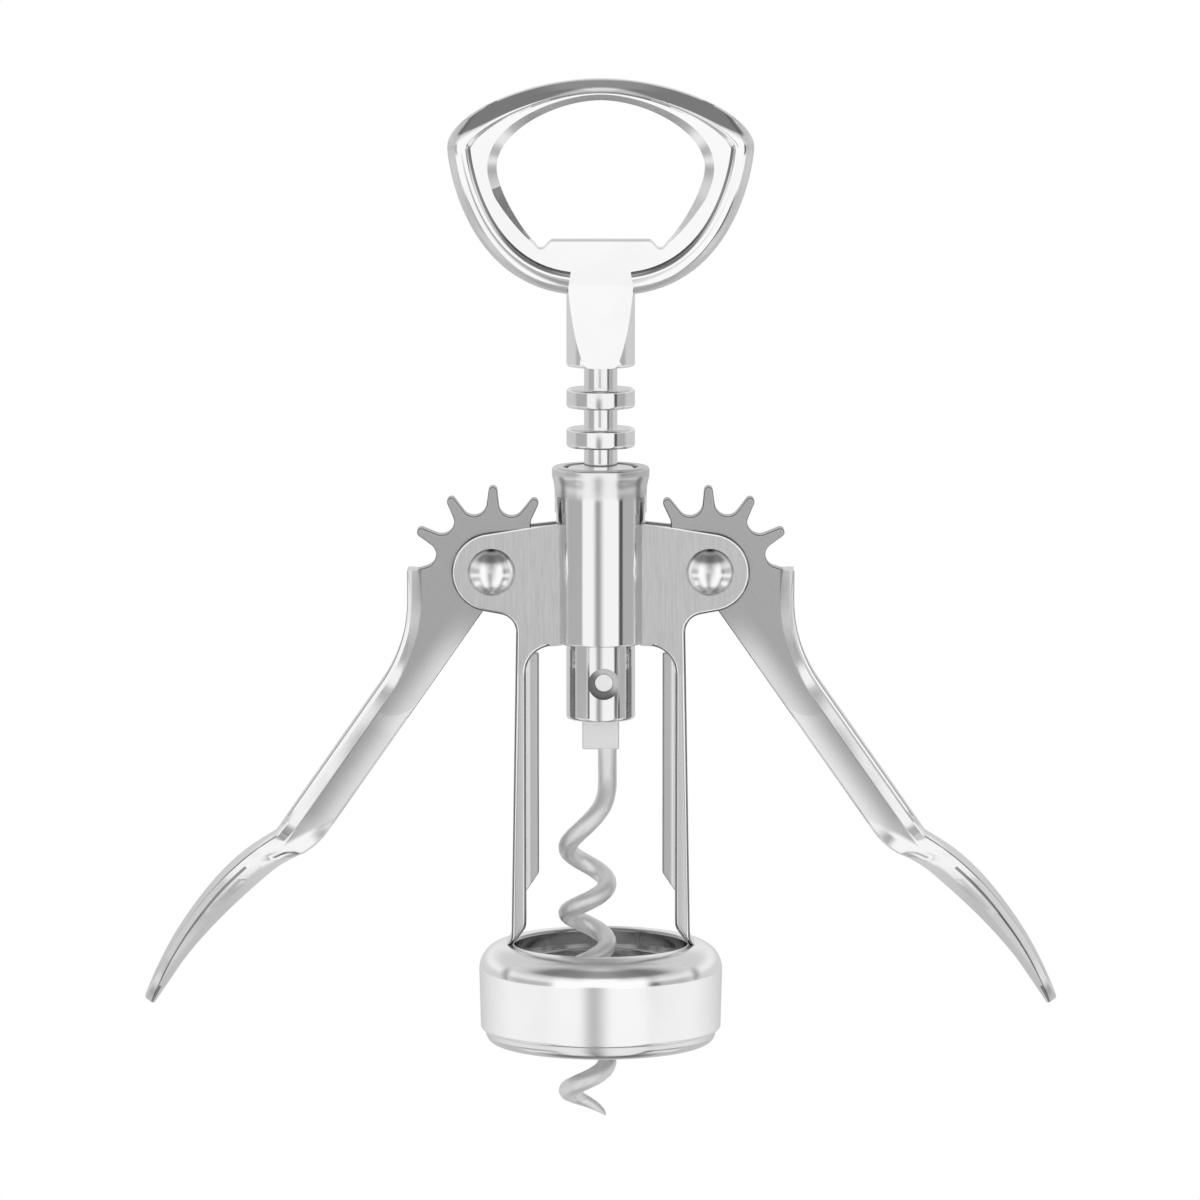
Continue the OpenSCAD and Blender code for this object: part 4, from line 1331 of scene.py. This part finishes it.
def lever_metal(name, side):
    """Polished on the bevel and the edges, and satin in the web and on the pad."""
    material, board = new_material(name)
    x, y, z = board.place()
    across, along = folded(x - side * pivot_x, z - pivot_h, side)
    past = along - elbow_d
    away, above = across - (arm_out + elbow_r), past.maths("MINIMUM", past, 0.0)
    from_edge = (away * away + above * above).root() - elbow_r
    bevel = past.ease(-13, 0, 0.25, 1.0) * bevel_w
    web_slant, web_end = 1.87, 53
    web = (along - web_slant * across).ease(web_end - 0.8, web_end + 0.8, 1.0, 0.0)
    web = (from_edge - bevel).ease(-0.15, 0.15) * web
    pad = along.ease(60, 72)
    # Painted shade across the web: lighter towards the inner edge, darker towards the bevel.
    light = across.ease(-arm_in, arm_out - bevel_w, 1.0, 0.0) * along.ease(6, 18)
    # A painted highlight line where the web meets the bevel.
    line = web * from_edge.ease(bevel_w - 0.15, bevel_w + 0.05, 1.0, 0.0)
    grain = board.noise(board.vector(across * 4, y, along * 0.2), 1.0, 4.0)
    plain = 0.92 - pad * 0.1
    tint = plain + web * (0.48 + light * 0.42 + line * 0.34 - plain) + (grain - 0.5) * 0.06
    board.surface({
        "Base Color": board.level(tint),
        "Metallic": 1.0,
        "Roughness": 0.12 + web * 0.18 + pad * 0.2,
        "Normal": board.relief(grain * web, 0.02),
    })
    return material


# %% [markdown]
# Thin dark lines trace what a round edge gathers of the dark surroundings: the gear's outline, the arm's
# outer edge, and the line inside the pad's rim.


# %% Finish the levers
def on_rim(name, spot, normal, side):
    """The edges of a gear or an arm that look dark, at a spot measured from the pivot."""
    if name == "gear":
        return on_edge(normal)
    across, along = folded(spot.x, spot.z, side)
    if along < arm_end + 2:
        away = math.hypot(across - arm_out - elbow_r, min(0, along - elbow_d)) - elbow_r
        return on_edge(normal) and away < 0.3
    return along > arm_end + 13 and 0 < pad_outer(along) - across - pad_rim < 0.42


for side, node, pair in ((-1, "lever_left", (gear, arm)), (1, "lever_right", (right_gear, right_arm))):
    skin = lever_metal(f"{node}_metal", side)
    near = Vector((side * pivot_x, 0, pivot_h))
    for name, made in zip(("gear", "arm"), pair):
        finish_piece(made, node, [node], skin, angle=24)
        # Painted dark reflection lines on the gear's and the arm's edges.
        use_where(made, painted_edge_reflection, lambda p, n: on_rim(name, p - near, n, side))

# %% [markdown]
# ## Studio
#
# Chrome shows the room, so its light is drawn with what stands around it. The world is a tent of white
# cloth. Each direction in it has two angles, round the object and above level, and each thing in the room
# is a smooth step of those angles.
#
# Grey walls stand to both sides, with a darker strip in the right one. Below level a pale band runs all
# round, each side has a white window under it, and a grey post stands just left of the camera.

# %% Walls of the tent
world = bpy.data.worlds.new("tent")
bpy.context.scene.world = world
world.use_nodes = True
board = Board(world.node_tree)
x, y, z = board.axes(board.node("ShaderNodeTexCoord", output="Generated"))
turn = x.maths("ARCTAN2", x, 0.0 - y) * math.degrees(1)
rise = z.maths("ARCSINE", z) * math.degrees(1)
off = abs(turn)
strip = turn.ease(44, 47) - turn.ease(55, 59)
sides = off.ease(44, 50) * 0.55 - off.ease(85, 100) * 0.19 + strip * 0.36
walls = 1.0 - sides * rise.ease(3, 14, 1.0, 0.4)
band = rise.ease(-22, -17) - rise.ease(-9.3, -8.6)
band_level = 1.0 - off.ease(85, 175) * 0.4
window = (off.ease(50, 60) - off.ease(95, 110)) * (rise.ease(-50, -46) - rise.ease(-35, -30))
post = (turn.ease(-22, -7) - turn.ease(-7, 12)) * rise.ease(-5.5, -4.9, 1.0, 0.0)
level = walls * (1.0 - band - window) + band_level * band + window - post * (0.66 - 0.1 * band)

# %% [markdown]
# Above the walls the cloth is a little grey, except straight ahead, and a dark patch hangs over the front
# half. The roof and the ground are dim. The camera itself sees plain white, because only other rays see the
# tent.

# %% Roof of the tent
sky = rise.ease(16, 30) * (1.0 - off.ease(14, 22, 1.0, 0.0) * rise.ease(17, 24)) * 0.28
patch = (rise.ease(29, 37) - rise.ease(66, 76)) * off.ease(70, 90, 1.0, 0.0) * 0.72
roof, ground = rise.ease(70, 80, 1.0, 0.6), rise.ease(-70, -56, 0.4, 1.0)
level = level * (1.0 - sky) * (1.0 - patch) * roof * ground
tent = board.node("ShaderNodeBackground", values={"Color": board.level(level)})
plain = board.node("ShaderNodeBackground", values={"Color": grey(1)})
seen = board.node("ShaderNodeLightPath", output="Is Camera Ray")
shown = board.node("ShaderNodeMixShader", values={0: seen, 1: tent, 2: plain})
board.node("ShaderNodeOutputWorld", values={"Surface": shown})
print("nodes in the tent:", len(world.node_tree.nodes))

# %% [markdown]
# The floor is a plain pale sheet well below the corkscrew, as if it hung in the air over a table. The
# camera sees it as white, and mirrors look through it to the tent.

# %% Floor
floor_gap, floor_size = 40, 3
floor_z = (bottom("worm") - floor_gap) * MM
bpy.ops.mesh.primitive_plane_add(size=floor_size, location=(0, 0, floor_z))
floor = bpy.context.object
floor.name = "floor"
paper, board = new_material("paper")
cloud = board.noise(board.vector(*board.place()), 0.02)
sheet = board.node("ShaderNodeBsdfDiffuse", values={"Color": board.mix(cloud, grey(0.86), grey(0.88))})
white = board.node("ShaderNodeEmission", values={"Color": grey(1), "Strength": 1.0})
clear = board.node("ShaderNodeBsdfTransparent")
seen = board.node("ShaderNodeLightPath", output="Is Camera Ray")
mirrored = board.node("ShaderNodeLightPath", output="Is Glossy Ray")
lit = board.node("ShaderNodeMixShader", values={0: mirrored, 1: sheet, 2: clear})
shown = board.node("ShaderNodeMixShader", values={0: seen, 1: lit, 2: white})
board.node("ShaderNodeOutputMaterial", values={"Surface": shown})
floor.data.materials.append(paper)

# %% [markdown]
# ## Camera
#
# A long lens from over a metre away keeps the shape almost free of perspective, slightly from above.

# %% Camera
camera_away, camera_up, aim_up = 1.2194, 0.2242, 0.0739
bpy.ops.object.camera_add(location=(0, -camera_away, camera_up))
camera = bpy.context.object
camera.data.sensor_width = 36
camera.data.lens = 222.9
aim = Vector((0, 0, aim_up)) - camera.location
print(f"the camera aims from {aim.length:.3f} m away")
camera.rotation_euler = aim.to_track_quat("-Z", "Y").to_euler()
camera.data.shift_x = -0.0006
bpy.context.scene.camera = camera
bpy.context.scene.view_settings.view_transform = "Standard"
